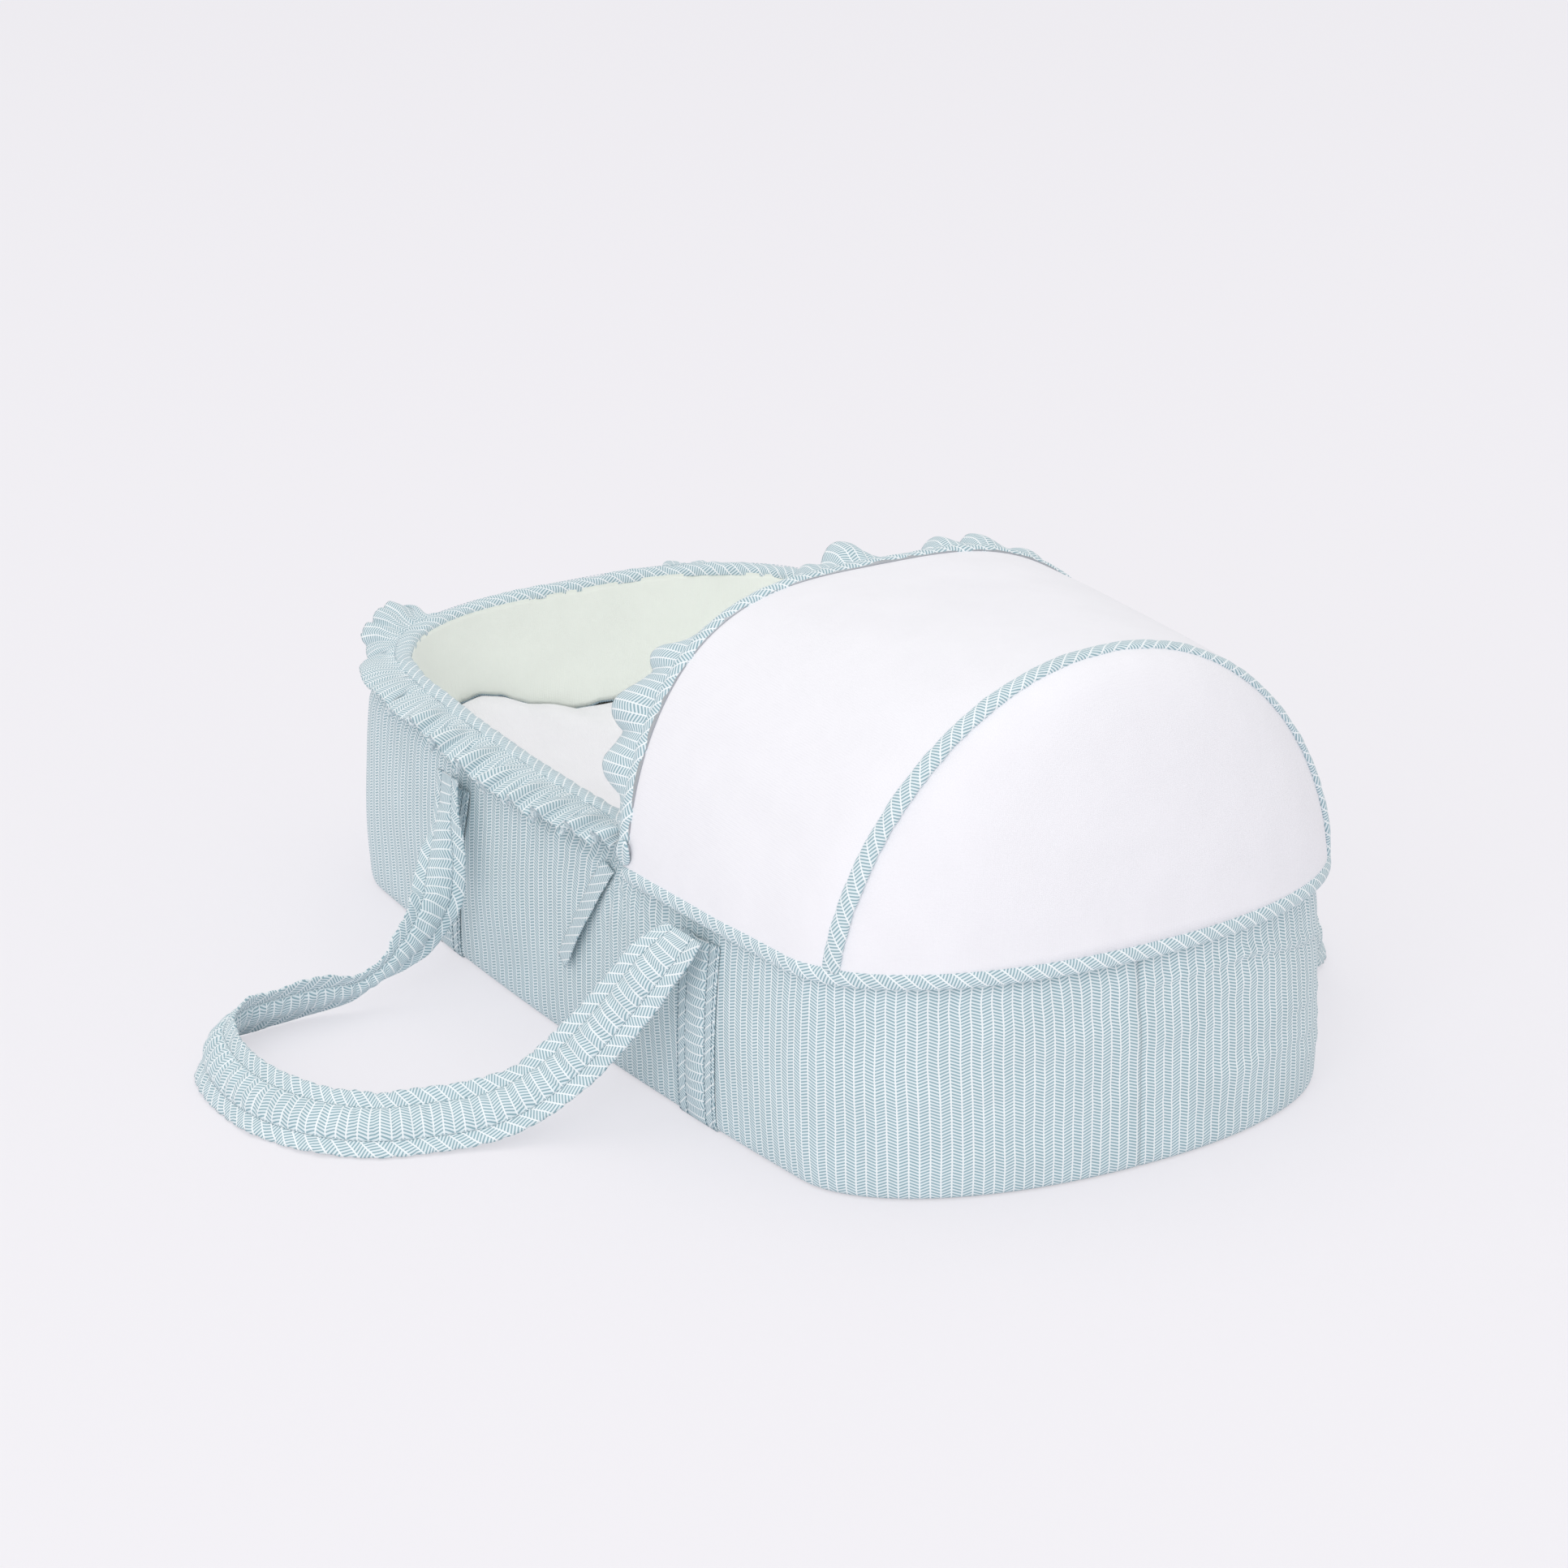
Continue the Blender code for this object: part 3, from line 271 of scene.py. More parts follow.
def cloth(name, points, uv, facing, closed=False, looped=False):
    """A mesh object from a grid. facing is a direction, or "out" or "in" from the basket's core.

    closed joins the last column to the first, and looped joins the last row to the first.
    """
    rows, columns = points.shape[:2]
    last_row, last_column = rows - (not looped), columns - (not closed)
    row, column = np.meshgrid(np.arange(last_row), np.arange(last_column), indexing="ij")
    corners = [(row, column), (row, column + 1), (row + 1, column + 1), (row + 1, column)]
    faces = np.stack([(r % rows) * columns + c % columns for r, c in corners], -1).reshape(-1, 4)
    flat_uv = np.stack([uv[r, c] for r, c in corners], 2).reshape(-1, 4, 2)
    flat = points.reshape(-1, 3)
    area = np.cross(flat[faces[:, 2]] - flat[faces[:, 0]], flat[faces[:, 3]] - flat[faces[:, 1]])
    middle = flat[faces].mean(1)
    if isinstance(facing, str):
        hub = stacked(np.clip(middle[:, 0], -core_reach, core_reach), 0.0, core_height)
        way = (middle - hub) * (1 if facing == "out" else -1)
    else:
        way = np.broadcast_to(facing, middle.shape)
    if (area * way).sum() < 0:
        faces, flat_uv = faces[:, ::-1], flat_uv[:, ::-1]
    mesh = bpy.data.meshes.new(name)
    mesh.from_pydata(flat.tolist(), [], faces.tolist())
    layer = mesh.uv_layers.new(name="Cloth")
    layer.data.foreach_set("uv", flat_uv.reshape(-1).astype(np.float32))
    mesh.shade_smooth()
    obj = bpy.data.objects.new(name, mesh)
    bpy.context.scene.collection.objects.link(obj)
    return obj


def settle(obj):
    """Turn an object's modifiers into plain mesh."""
    bpy.context.view_layer.update()
    graph = bpy.context.evaluated_depsgraph_get()
    mesh = bpy.data.meshes.new_from_object(obj.evaluated_get(graph))
    mesh.name = obj.name
    obj.modifiers.clear()
    obj.data = mesh


def thicken(obj, thickness, offset=-1.0, two_faced=False):
    """Give a sheet its thickness, inward at an offset of -1, and mark its reverse if both faces show."""
    count = len(obj.data.polygons)
    solid = obj.modifiers.new("Thickness", "SOLIDIFY")
    solid.thickness = thickness
    solid.offset = offset
    settle(obj)
    if two_faced:
        reverse = np.zeros(len(obj.data.polygons), np.float32)
        reverse[count:2 * count] = 1.0
        obj.data.attributes.new("Reverse", "FLOAT", "FACE").data.foreach_set("value", reverse)
    return obj


def close_up(obj, weld=None):
    """Close a padded form, by welding points that meet or by filling its open ends."""
    work = bmesh.new()
    work.from_mesh(obj.data)
    if weld:
        bmesh.ops.remove_doubles(work, verts=work.verts, dist=weld)
    else:
        bmesh.ops.holes_fill(work, edges=[edge for edge in work.edges if edge.is_boundary], sides=0)
    bmesh.ops.recalc_face_normals(work, faces=work.faces)
    work.to_mesh(obj.data)
    work.free()
    return obj


def finish(obj, material, body, slot, *nodes):
    """Give a piece its material and its body, and hide the nodes that it stands for. The slot is not used.
    """
    obj.data.materials.clear()
    obj.data.materials.append(material)
    if body:
        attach(obj, body)
    if nodes:
        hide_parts(*nodes)
    print(obj.name, len(obj.data.polygons), "faces")
    return obj


def bias(along, across, degrees):
    """A flat cloth place turned by an angle, as when a strip is cut across the weave."""
    cosine, sine = math.cos(math.radians(degrees)), math.sin(math.radians(degrees))
    return stacked(along * cosine + across * sine, across * cosine - along * sine)


def arc_lengths(points, axis):
    """The running length along one axis of a grid of points."""
    steps = np.linalg.norm(np.diff(points, axis=axis), axis=-1)
    start = np.zeros_like(np.take(steps, [0], axis))
    return np.concatenate([start, np.cumsum(steps, axis)], axis)


# %% [markdown]
# ## Printed cotton
#
# The cloth is a plain-woven cotton poplin, printed with a fine herringbone: upright columns 6.4 mm
# wide, parted by white lines, with short slanting bars 2.1 mm apart that change direction from one
# column to the next. An image would blur close up, so the print is worked out from the flat cloth's
# own metres: a ping-pong across the columns slants the bars, and two smooth steps cut bars and lines.
# The ink does not reach the cloth's reverse, so faces marked as reverse are paler. Poplin is matt
# with a faint sheen, so it is rough, and its threads show only as a fine bump.

# %% Node helpers and colours


def linear(hex_colour):
    """An sRGB hex colour as linear values."""
    values = [int(hex_colour[i:i + 2], 16) / 255 for i in (1, 3, 5)]
    return [v / 12.92 if v <= 0.04045 else ((v + 0.055) / 1.055) ** 2.4 for v in values] + [1.0]


def fill(tree, node, inputs):
    """Give a node's inputs their values or links; None leaves an input as it is."""
    pairs = inputs.items() if isinstance(inputs, dict) else enumerate(inputs)
    for key, value in pairs:
        if isinstance(value, bpy.types.NodeSocket):
            tree.links.new(value, node.inputs[key])
        elif value is not None:
            node.inputs[key].default_value = value
    return node


def add_node(tree, kind, inputs=(), **settings):
    """Add one node, set its options, and fill its inputs."""
    node = tree.nodes.new(kind)
    for key, value in settings.items():
        setattr(node, key, value)
    return fill(tree, node, inputs)


def start_material(name):
    """A new material with its node tree and shader."""
    material = bpy.data.materials.new(name)
    material.use_nodes = True
    return material, material.node_tree, material.node_tree.nodes["Principled BSDF"]


def reckon(tree, operation, *values):
    """The result of a sum on single values."""
    return add_node(tree, "ShaderNodeMath", values, operation=operation).outputs[0]


def reckon_vector(tree, operation, *values):
    """The result of a sum on vectors. The fourth value is the scale of SCALE."""
    return add_node(tree, "ShaderNodeVectorMath", values, operation=operation).outputs[0]


def lumps_of(tree, spot, scale, detail):
    """Cloudy noise at a place."""
    return add_node(tree, "ShaderNodeTexNoise", {"Vector": spot, "Scale": scale, "Detail": detail}).outputs


def carry(tree, value, low, high, to_low, to_high, kind="LINEAR"):
    """A value carried from one range to another and held at its ends."""
    inputs = [value, low, high, to_low, to_high]
    return add_node(tree, "ShaderNodeMapRange", inputs, interpolation_type=kind).outputs[0]


def mix(tree, share, first, second, kind="MIX"):
    """A colour a share of the way from the first to the second."""
    inputs = {0: share, 6: first, 7: second}
    return add_node(tree, "ShaderNodeMix", inputs, data_type="RGBA", blend_type=kind).outputs[2]


def bumped(tree, height, strength, distance, normal=None):
    """A normal tilted by a height, on top of another bump if one is given."""
    inputs = {"Height": height, "Strength": strength, "Distance": distance, "Normal": normal}
    return add_node(tree, "ShaderNodeBump", inputs).outputs[0]


# %% Herringbone print
column_width = 0.0064
bar_pitch = 0.00208
bar_slope = 0.40
bar_edges = (bar_pitch * 0.19, bar_pitch * 0.27)
line_edges = (0.06, 0.09)
thread_pitch = 0.0009
print_waver = 0.0006
reverse_fade = 0.6


def printed_cotton(name, bar_colour="#95B4BE", ground_colour="#E6F0F4", line_colour="#F5FAFC"):
    """Poplin with the herringbone print, drawn from the piece's flat cloth map."""
    material, tree, shader = start_material(name)
    uv = add_node(tree, "ShaderNodeUVMap", uv_map="Cloth").outputs[0]
    waver = lumps_of(tree, uv, 60.0, 1.0)["Color"]
    nudge = reckon_vector(tree, "SUBTRACT", waver, (0.5, 0.5, 0.5))
    nudge = reckon_vector(tree, "SCALE", nudge, None, None, print_waver)
    cloth_place = reckon_vector(tree, "ADD", uv, nudge)
    split = add_node(tree, "ShaderNodeSeparateXYZ", [cloth_place]).outputs
    column = reckon(tree, "DIVIDE", split[0], column_width)
    zigzag = reckon(tree, "PINGPONG", column, 1.0)
    slant = reckon(tree, "MULTIPLY", zigzag, bar_slope * column_width)
    bars = reckon(tree, "PINGPONG", reckon(tree, "ADD", split[1], slant), bar_pitch / 2)
    bar = carry(tree, bars, *bar_edges, 1.0, 0.0, "SMOOTHSTEP")
    column_edge = reckon(tree, "PINGPONG", column, 0.5)
    inside_lines = carry(tree, column_edge, *line_edges, 0.0, 1.0, "SMOOTHSTEP")
    ink = reckon(tree, "MULTIPLY", bar, inside_lines)
    ground = mix(tree, inside_lines, linear(line_colour), linear(ground_colour))
    face = mix(tree, ink, ground, linear(bar_colour))
    reverse = add_node(tree, "ShaderNodeAttribute", attribute_name="Reverse").outputs["Fac"]
    faded = reckon(tree, "MULTIPLY", reverse, reverse_fade)
    both = mix(tree, faded, face, linear(ground_colour))
    shade = carry(tree, lumps_of(tree, uv, 25.0, 3.0)[0], 0.3, 0.7, 0.97, 1.02)
    threads = [reckon(tree, "PINGPONG", split[axis], thread_pitch / 2) for axis in (0, 1)]
    fill(tree, shader, {
        "Base Color": mix(tree, 1.0, both, shade, "MULTIPLY"),
        "Normal": bumped(tree, reckon(tree, "ADD", *threads), 0.25, 0.35),
        "Roughness": 0.86,
        "Sheen Weight": 0.12,
        "Sheen Roughness": 0.5,
    })
    return material


# Poplin is a tight, smooth cotton: the print stays crisp and the folds shade softly without gloss.
poplin = printed_cotton("printed_poplin")

# %% [markdown]
# ## Plain cloths and threads
#
# The hood is a smooth white cotton percale, the mattress sheet a softer white jersey, the lining a
# pale grey-green cotton. They carry no print, so their look is all weave: crossed waves in the
# piece's own metres, drawn a little coarser than real threads so that they show from this distance.

# %% Plain cloths and threads


def plain_cotton(name, colour, pitch, depth, roughness):
    """A plain woven cotton with a bump from its crossed threads, read from Object coordinates."""
    material, tree, shader = start_material(name)
    spot = add_node(tree, "ShaderNodeTexCoord").outputs["Object"]
    waves = reckon_vector(tree, "SCALE", spot, None, None, 2 * math.pi / pitch)
    split = add_node(tree, "ShaderNodeSeparateXYZ", [waves]).outputs
    sines = [reckon(tree, "SINE", split[axis]) for axis in range(3)]
    weave = reckon(tree, "ADD", reckon(tree, "ADD", sines[0], sines[1]), sines[2])
    soft = lumps_of(tree, spot, 30.0, 4.0)[0]
    shade = carry(tree, soft, 0.3, 0.7, 0.985, 1.01)
    fill(tree, shader, {
        "Base Color": mix(tree, 1.0, linear(colour), shade, "MULTIPLY"),
        "Normal": bumped(tree, soft, 0.25, 0.004, bumped(tree, weave, 0.2, depth)),
        "Roughness": roughness,
        "Sheen Weight": 0.1,
    })
    return material


# Percale is close-woven and bright: the hood reads as a clean, even white with soft shading.
percale = plain_cotton("white_percale", "#F7F6FB", pitch=0.0012, depth=0.0001, roughness=0.8)
# Jersey is knitted, softer and rougher: the sheet looks a little flatter than the hood.
jersey = plain_cotton("white_jersey", "#F7F6FA", pitch=0.0016, depth=0.0002, roughness=0.9)
# The lining is a plain cotton with a breath of green, which shows beside the true white.
lining_cotton = plain_cotton("grey_green_cotton", "#F8FDF5", pitch=0.0012, depth=0.0001, roughness=0.85)
# Sewing thread is smoother than cloth and darker than the print, so a seam reads as a dotted line.
thread = plain_cotton("blue_grey_thread", "#5F8292", pitch=0.0006, depth=0.0001, roughness=0.7)
# Overlock thread lies in a loose, paler chain, so the hem's edge reads as a soft band.
overlock_thread = plain_cotton("overlock_thread", "#93A9B5", pitch=0.0006, depth=0.0001, roughness=0.75)
# The rim's thread nearly matches the binding: its stitches show only as small pale dots.
rim_thread = plain_cotton("rim_thread", "#B7CAD2", pitch=0.0006, depth=0.0001, roughness=0.70)

# %% [markdown]
# ## Camera
#
# The photograph was taken with a long lens from the head end, a little above the hood. The camera
# stands where a fit to the outlines of the base, the rim and the hood puts it, and it is rolled by
# about a degree.

# %% Place the camera
photo_width_pixels = 1932
focal_length_pixels = 6274.07
view_azimuth = math.radians(60.4523)
view_elevation = math.radians(19.8975)
view_roll = math.radians(1.2368)
camera_place = Vector((2.75659, -1.58484, 1.28212))
back = Vector((
    math.sin(view_azimuth) * math.cos(view_elevation),
    -math.cos(view_azimuth) * math.cos(view_elevation),
    math.sin(view_elevation),
))
level_right = Vector((0, 0, 1)).cross(back).normalized()
level_up = back.cross(level_right)
right = level_right * math.cos(view_roll) - level_up * math.sin(view_roll)
up = level_right * math.sin(view_roll) + level_up * math.cos(view_roll)
camera_data = bpy.data.cameras.new("camera")
camera_data.sensor_width = 36.0
camera_data.lens = focal_length_pixels / photo_width_pixels * camera_data.sensor_width
camera = bpy.data.objects.new("camera", camera_data)
camera.matrix_world = Matrix.Translation(camera_place) @ Matrix((right, up, back)).transposed().to_4x4()
bpy.context.scene.collection.objects.link(camera)
bpy.context.scene.camera = camera
print("lens", round(camera_data.lens, 1), "mm")

# %% [markdown]
# ## The outer cover
#
# Two halves of printed cotton wrap the foam wall and meet in a seam at the middle of each end. Each
# half is one grid from under the base up to the rim binding. Soft lumps come from smooth noise, small
# upright gathers lie under the hem and the rim, level folds round the head end are placed one by one,
# creases fan out from the hood's foot, and a shallow groove marks each end seam. Near the straps all
# this dies out, because the strap is sewn flat to the cover.

# %% Outer cover
cover_step = 0.0035
cover_thickness = 0.0012

# The x and the height of the hood's foot, where the fanned creases start.
hood_foot = (0.0875, 0.137)

# The cover's lowest rows, turned under the base: how far each is set in, and its height.
turn_under = np.array([
    [0.0100, 0.0022], [0.0050, 0.0012], [0.0022, 0.0008], [0.0009, 0.0018], [0.0003, 0.0035],
])

# Each level fold: its middle from the head seam, half its length, height, slope and strength.
wall_folds = [
    (0.045, 0.055, 0.1158, 0.00, 0.7),
    (0.130, 0.065, 0.1075, -0.19, 1.0),
    (0.165, 0.040, 0.060, -0.10, 0.5),
    (0.170, 0.035, 0.040, -0.05, 0.45),
    (0.175, 0.030, 0.024, 0.00, 0.4),
    (-0.130, 0.060, 0.112, 0.10, 0.3),
]
foot_strap_x = -0.166
head_strap_x = 0.183


def long_folds(distance, z):
    """Level folds near the head end: the cloth rolls out over a sharp groove."""
    push = 0.0
    for middle, reach, height, slope, strength in wall_folds:
        along = distance - total / 2 - middle
        step = z - height - slope * along
        roll = 0.0017 * bell((step - 0.0045) / 0.0035) - 0.0010 * bell(step / 0.0014)
        push = push + strength * smooth((1 - np.abs(along) / reach) * 2.5) * roll
    return push


def foot_folds(distance, z):
    """Folds that fan out from the hood's foot, and how far they drag the print towards it."""
    side = np.minimum(distance, total - distance)
    away, drop = side - distance_at(hood_foot[0]), hood_foot[1] - z
    reach, angle = np.hypot(away, drop), np.arctan2(away, drop)
    rays = stacked(angle / 0.20, reach / 0.06, 0.0)
    push = 0.0021 * noise_at(rays, 1.0, 17) * np.exp(-reach / 0.035) * smooth(reach / 0.012)
    drag = 0.5 * away * np.exp(-np.abs(drop) / 0.045 - (away / 0.045) ** 2)
    return push, drag * np.where(distance < total / 2, 1.0, -1.0)


def cover_half(name, start, end):
    """One half of the outer cover with its creases."""
    columns = int((end - start) / cover_step)
    distance = np.linspace(start, end, columns + 1)[None, :]
    rim_z = rim_at(distance)
    bottom, under_roll = 0.005, 0.002
    share = np.linspace(0, 1, 80)[1:, None]
    high = bottom + (rim_z - rim_depth + under_roll - bottom) * share
    under_shape = (len(turn_under), columns + 1)
    z = np.concatenate([np.broadcast_to(turn_under[:, 1:], under_shape), high])
    inset = np.concatenate([np.broadcast_to(turn_under[:, :1], under_shape), outer_inset(high, rim_z)])
    points = place(distance, inset, z)
    normal = turned(grid_normals(points), points - (0, 0, 0.08))
    x = points[..., 0]
    # The straps slant up the wall, so their middles stand a little towards the head.
    strap_clear = 1.0
    for strap_middle, lean_by in ((foot_strap_x, 0.010), (head_strap_x, 0.005)):
        strap_clear = strap_clear * smooth((np.abs(x - strap_middle - lean_by) - 0.020) / 0.02)
    seam_width = 0.0016
    seam = bell((distance - total / 2) / seam_width)
    seam = seam + bell(np.minimum(distance, total - distance) / seam_width)
    gather_drop = np.where(x > 0.1, hem_low - z, rim_z - 0.02 - z)
    gathers = noise_at(points, (0.006, 0.006, 0.05), 3) * np.exp(-np.maximum(gather_drop, 0) / 0.022)
    fan, drag = foot_folds(distance, z)
    ripples = noise_at(points, (0.16, 0.07, 0.012), 8) * smooth((x - 0.30) / 0.06)
    lumps = noise_at(points, (0.07, 0.07, 0.05), 1)
    slack = smooth((z - 0.003) / 0.02) * smooth((rim_z - rim_depth - z) / 0.006)
    push = 0.0008 * lumps + 0.0011 * gathers + fan + 0.0007 * ripples + long_folds(distance, z)
    points += normal * (push * strap_clear * slack - 0.0003 * seam)[..., None]
    waver = 0.0013 * noise_at(points, (0.03, 0.03, 0.018), 9) * np.exp(-np.maximum(gather_drop, 0) / 0.03)
    waver += 0.0006 * noise_at(points, 0.06, 10)
    obj = cloth(name, points, stacked(distance + waver + drag, arc_lengths(points, 0)), "out")
    return thicken(obj, cover_thickness)


near_cover = cover_half("near_outer_cover", 0.0, total / 2)
finish(near_cover, poplin, "basket", "printed_cotton", "near_cover", "near_wall_foam", "head_wall_foam")
far_cover = cover_half("far_outer_cover", total / 2, total)
finish(far_cover, poplin, "basket", "printed_cotton", "far_cover", "far_wall_foam", "foot_wall_foam")

# %% [markdown]
# ## The base
#
# Under the wall a flat printed panel closes the base. It only shows from below and as a dark line
# round the lower edge, so it is a plain plate with soft edges, drawn from the same outline.

# %% Base panel


def base_panel():
    """The printed underside, a plate with rings drawn in towards the middle."""
    distance = np.linspace(0, total, 301)[:-1][None, :]
    edge = [(0.006, 0.0058), (0.0035, 0.0045), (0.0035, 0.0030), (0.006, 0.0019), (0.010, 0.0018)]
    rings = [(inset, z, 1.0) for inset, z in edge]
    rings += [(*edge[-1], share) for share in (0.8, 0.55, 0.3, 0.1, 0.0)]
    rows = []
    for inset, z, share in rings:
        row = place(distance, inset, z)[0]
        row[:, :2] *= share
        rows.append(row)
    points = np.array(rows)
    return cloth("base_panel", points, closed_band(points)[..., :2].copy(), (0, 0, -1), closed=True)


finish(base_panel(), poplin, "basket", "printed_cotton", "base_cover")

# %% [markdown]
# ## The rim binding
#
# A strip cut on the bias is folded over the wall's top edge and sewn through, so its print runs
# slantwise and its edge puckers a little between the stitches. The strip is a grid swept round the
# outline: around the roll first, then along the rim.

# %% Rim binding
binding_turn = 52.0
thin_cloth = 0.0009


def rim_binding():
    """The rolled strip over the rim."""
    columns = int(total / 0.003)
    distance = np.linspace(0, total, columns + 1)[:-1][None, :]
    rim_z = rim_at(distance)
    turn = np.linspace(0, math.pi, 15)[:, None]
    across = -np.cos(turn) * rim_width / 2
    rise = np.sin(turn) ** 0.7 * rim_depth * 0.48
    legs = np.array([0.0, 0.22])[:, None]
    inset = np.concatenate([-rim_width / 2 + 0 * legs, across, rim_width / 2 + 0 * legs[::-1]])
    inset = inset + rim_inset + tuck(distance)
    # The outer leg reaches down by the rim's full depth, the inner one by two thirds of it.
    outer_leg, inner_leg = -rim_depth * (1 - legs), -rim_depth * (0.66 - 0.5 * legs[::-1])
    lift = np.concatenate([outer_leg, rise - rim_depth * 0.5, inner_leg])
    points = place(distance, inset, rim_z + lift, 1.0)
    normal = grid_normals(points, closed=True)
    pucker = noise_at(points, (0.007, 0.007, 0.02), 4) * 0.0006
    lump = noise_at(points, 0.03, 2) * 0.0005
    outer = np.sign((normal[8] * (0, 0, 1)).sum())
    points += normal * (outer * (pucker + lump))[..., None]
    around = arc_lengths(closed_band(points), 0)[:, :1]
    run = np.linspace(0, total, columns + 1)[None, :]
    obj = cloth("rim_roll", points, bias(run, around, binding_turn), "out", closed=True)
    return thicken(obj, thin_cloth)


finish(rim_binding(), poplin, "basket", "printed_cotton", "rim_binding")

# %% [markdown]
# ## Gathered frills
#
# A frill is a straight strip about half as long again as its seam. At the seam the spare length is
# taken up in tiny gathers, and towards the free hem it opens into pleats: a flat stretch, then a loop
# of cloth that bulges back on itself. The strip's hem is drawn as by a walking turtle: at each step it
# has a heading, and the heading swings from level to steep, round the loop, and back to level.

# %% Pleats along a strip
crease_radius = 0.0013


def heading_turns(stretch, bulge, steep, loop_radius, side, leg=0.0):
    """One pleat as (heading at the start, heading at the end, length) pieces."""
    return [
        (bulge, -bulge, stretch),
        (-bulge, side * steep, abs(steep * side + bulge) * crease_radius),
        (side * steep, side * steep, leg),
        (side * steep, -side * steep, 2 * steep * loop_radius),
        (-side * steep, -side * steep, leg),
        (-side * steep, bulge, abs(steep * side + bulge) * crease_radius),
    ]


def pleated_line(pleats, length, step=0.0009):
    """The hem as cloth length, place along the seam and height, fitted to the seam's length."""
    heading, spacing = [], []
    for pleat in pleats:
        for first, last, run in heading_turns(*pleat):
            count = max(2, round(run / step)) if run else 0
            heading.append(first + (last - first) * (np.arange(count) + 0.5) / count)
            spacing.append(np.full(count, run / max(count, 1)))
    heading, spacing = np.concatenate(heading), np.concatenate(spacing)
    along = np.concatenate([[0], np.cumsum(np.cos(heading) * spacing)])
    height = np.concatenate([[0], np.cumsum(np.sin(heading) * spacing)])
    cloth_run = np.concatenate([[0], np.cumsum(spacing)])
    height -= np.interp(cloth_run, cloth_run[[0, -1]], height[[0, -1]])
    return cloth_run, along * length / along[-1], height


def loop_span(steep, radius, leg):
    """How far along the seam a pleat's loop reaches."""
    return 2 * (radius + crease_radius) * math.sin(steep) + 2 * leg * math.cos(steep)


def spaced_pleats(rows, start):
    """Pleats whose loops stand at chosen places: rows of place, bulge, steepness, radius, side and leg."""
    pleats = []
    for end, bulge, steep, radius, side, leg in rows:
        arc, steep = math.radians(bulge), math.radians(steep)
        flat = end - start - loop_span(steep, radius, leg)
        pleats.append((flat * arc / math.sin(arc), arc, steep, radius, side, leg))
        start = end
    return pleats


def random_pleats(length, seed):
    """Pleats of uneven size for a seam of this length."""
    draw = np.random.default_rng(seed)
    pleats, covered = [], 0.0
    while covered < length:
        stretch = draw.uniform(0.016, 0.027)
        steep = math.radians(draw.uniform(88, 122))
        radius = draw.uniform(0.0028, 0.0046)
        side = -1 if draw.random() < 0.35 else 1
        leg = draw.uniform(0.0, 0.0035)
        pleats.append((stretch, math.radians(draw.uniform(8, 22)), steep, radius, side, leg))
        covered += stretch + loop_span(steep, radius, leg)
    return pleats


rim_frill_width = 0.034

# How far the frill droops, in degrees, and how far it reaches, at distances from the foot's middle.
rim_droops = [
    (-1.046, 48), (-0.132, 60), (-0.118, 14), (-0.092, 12), (-0.080, 56), (-0.070, 34), (-0.056, 34),
    (-0.046, 60), (0.092, 58), (0.118, 22), (0.140, -8), (0.165, -4), (0.184, 16), (0.205, 34),
    (0.225, 12), (0.255, 2), (0.290, 2), (0.350, 6), (0.470, 10), (0.520, 8), (0.560, 4), (0.600, 6),
    (0.640, 16), (1.046, 30),
]
rim_reaches = [
    (-1.046, 0.0365), (0.125, 0.0355), (0.150, 0.0365), (0.172, 0.0345), (0.198, 0.0255), (0.225, 0.0265),
    (0.262, 0.0305), (0.350, 0.0325), (0.430, 0.0350), (0.520, 0.0350), (0.560, 0.0320), (0.600, 0.0285),
    (0.621, 0.0250), (0.660, 0.0300), (1.046, 0.0365),
]


def along_rim(table, distance):
    """A value read from a table of places, as distances from the foot end's middle."""
    places, values = np.array(table).T
    return np.interp(from_foot(distance), places, values)


def drape(share, droop):
    """How far out and down a strip of length 1 gets by a share of it, bending down as it goes."""
    first, growth = 0.75 * droop - 0.22, 0.5 * droop + 0.55
    out = (np.sin(first + growth * share) - np.sin(first)) / growth
    down = (np.cos(first) - np.cos(first + growth * share)) / growth
    return out, down, first + growth * share


def seam_gathers(cloth_run, share, spacing, seed, reach):
    """Tiny gathers that fade out with distance from the seam."""
    spots = stacked(cloth_run, share, 0.0)
    return noise_at(spots, (spacing, 3.0, 1.0), seed) * 0.0008 * bell((share - 0.10) / reach)


def rim_frill(name, start, end, node, seed, pleats=None):
    """One length of the frill round the open rim."""
    cloth_run, along, height = pleated_line(pleats or random_pleats(end - start, seed), end - start)
    share = np.linspace(0, 1, 17)[:, None]
    grow = share**0.9 * smooth(share * 1.6 + 0.05)
    even = cloth_run / cloth_run[-1] * (end - start)
    distance = start + even + (along - even) * grow
    gathers = seam_gathers(cloth_run, share, 0.0045, seed + 5, 0.14)
    seam_spots = stacked(start + even, 0.0, 0.0)
    reach = along_rim(rim_reaches, start + even) * (1 + 0.05 * noise_at(seam_spots, 0.02, 18))
    reach = reach - 0.25 * np.minimum(height, 0) * share
    droop = np.radians(along_rim(rim_droops, start + even)) + 0.08 * noise_at(seam_spots, 0.03, 19)
    out, down, slope = drape(share, droop)
    way = stacked(*outward(distance), 0.0)
    lifted = height * grow + gathers
    rise = (lifted * np.cos(slope) - down * reach)[..., None] * (0, 0, 1)
    seam = place(distance, rim_inset + tuck(distance) - rim_width / 2 + 0.0026, rim_at(distance) - 0.0022)
    points = seam + way * (out * reach + lifted * np.sin(slope))[..., None] + rise
    obj = cloth(name, points, stacked(cloth_run, share * rim_frill_width), (0, 0, 1))
    thicken(obj, thin_cloth, 0.0, True)
    return finish(obj, poplin, "basket", "printed_cotton", node)


frill_start = distance_at(-0.25)
frill_end = distance_at(0.098)

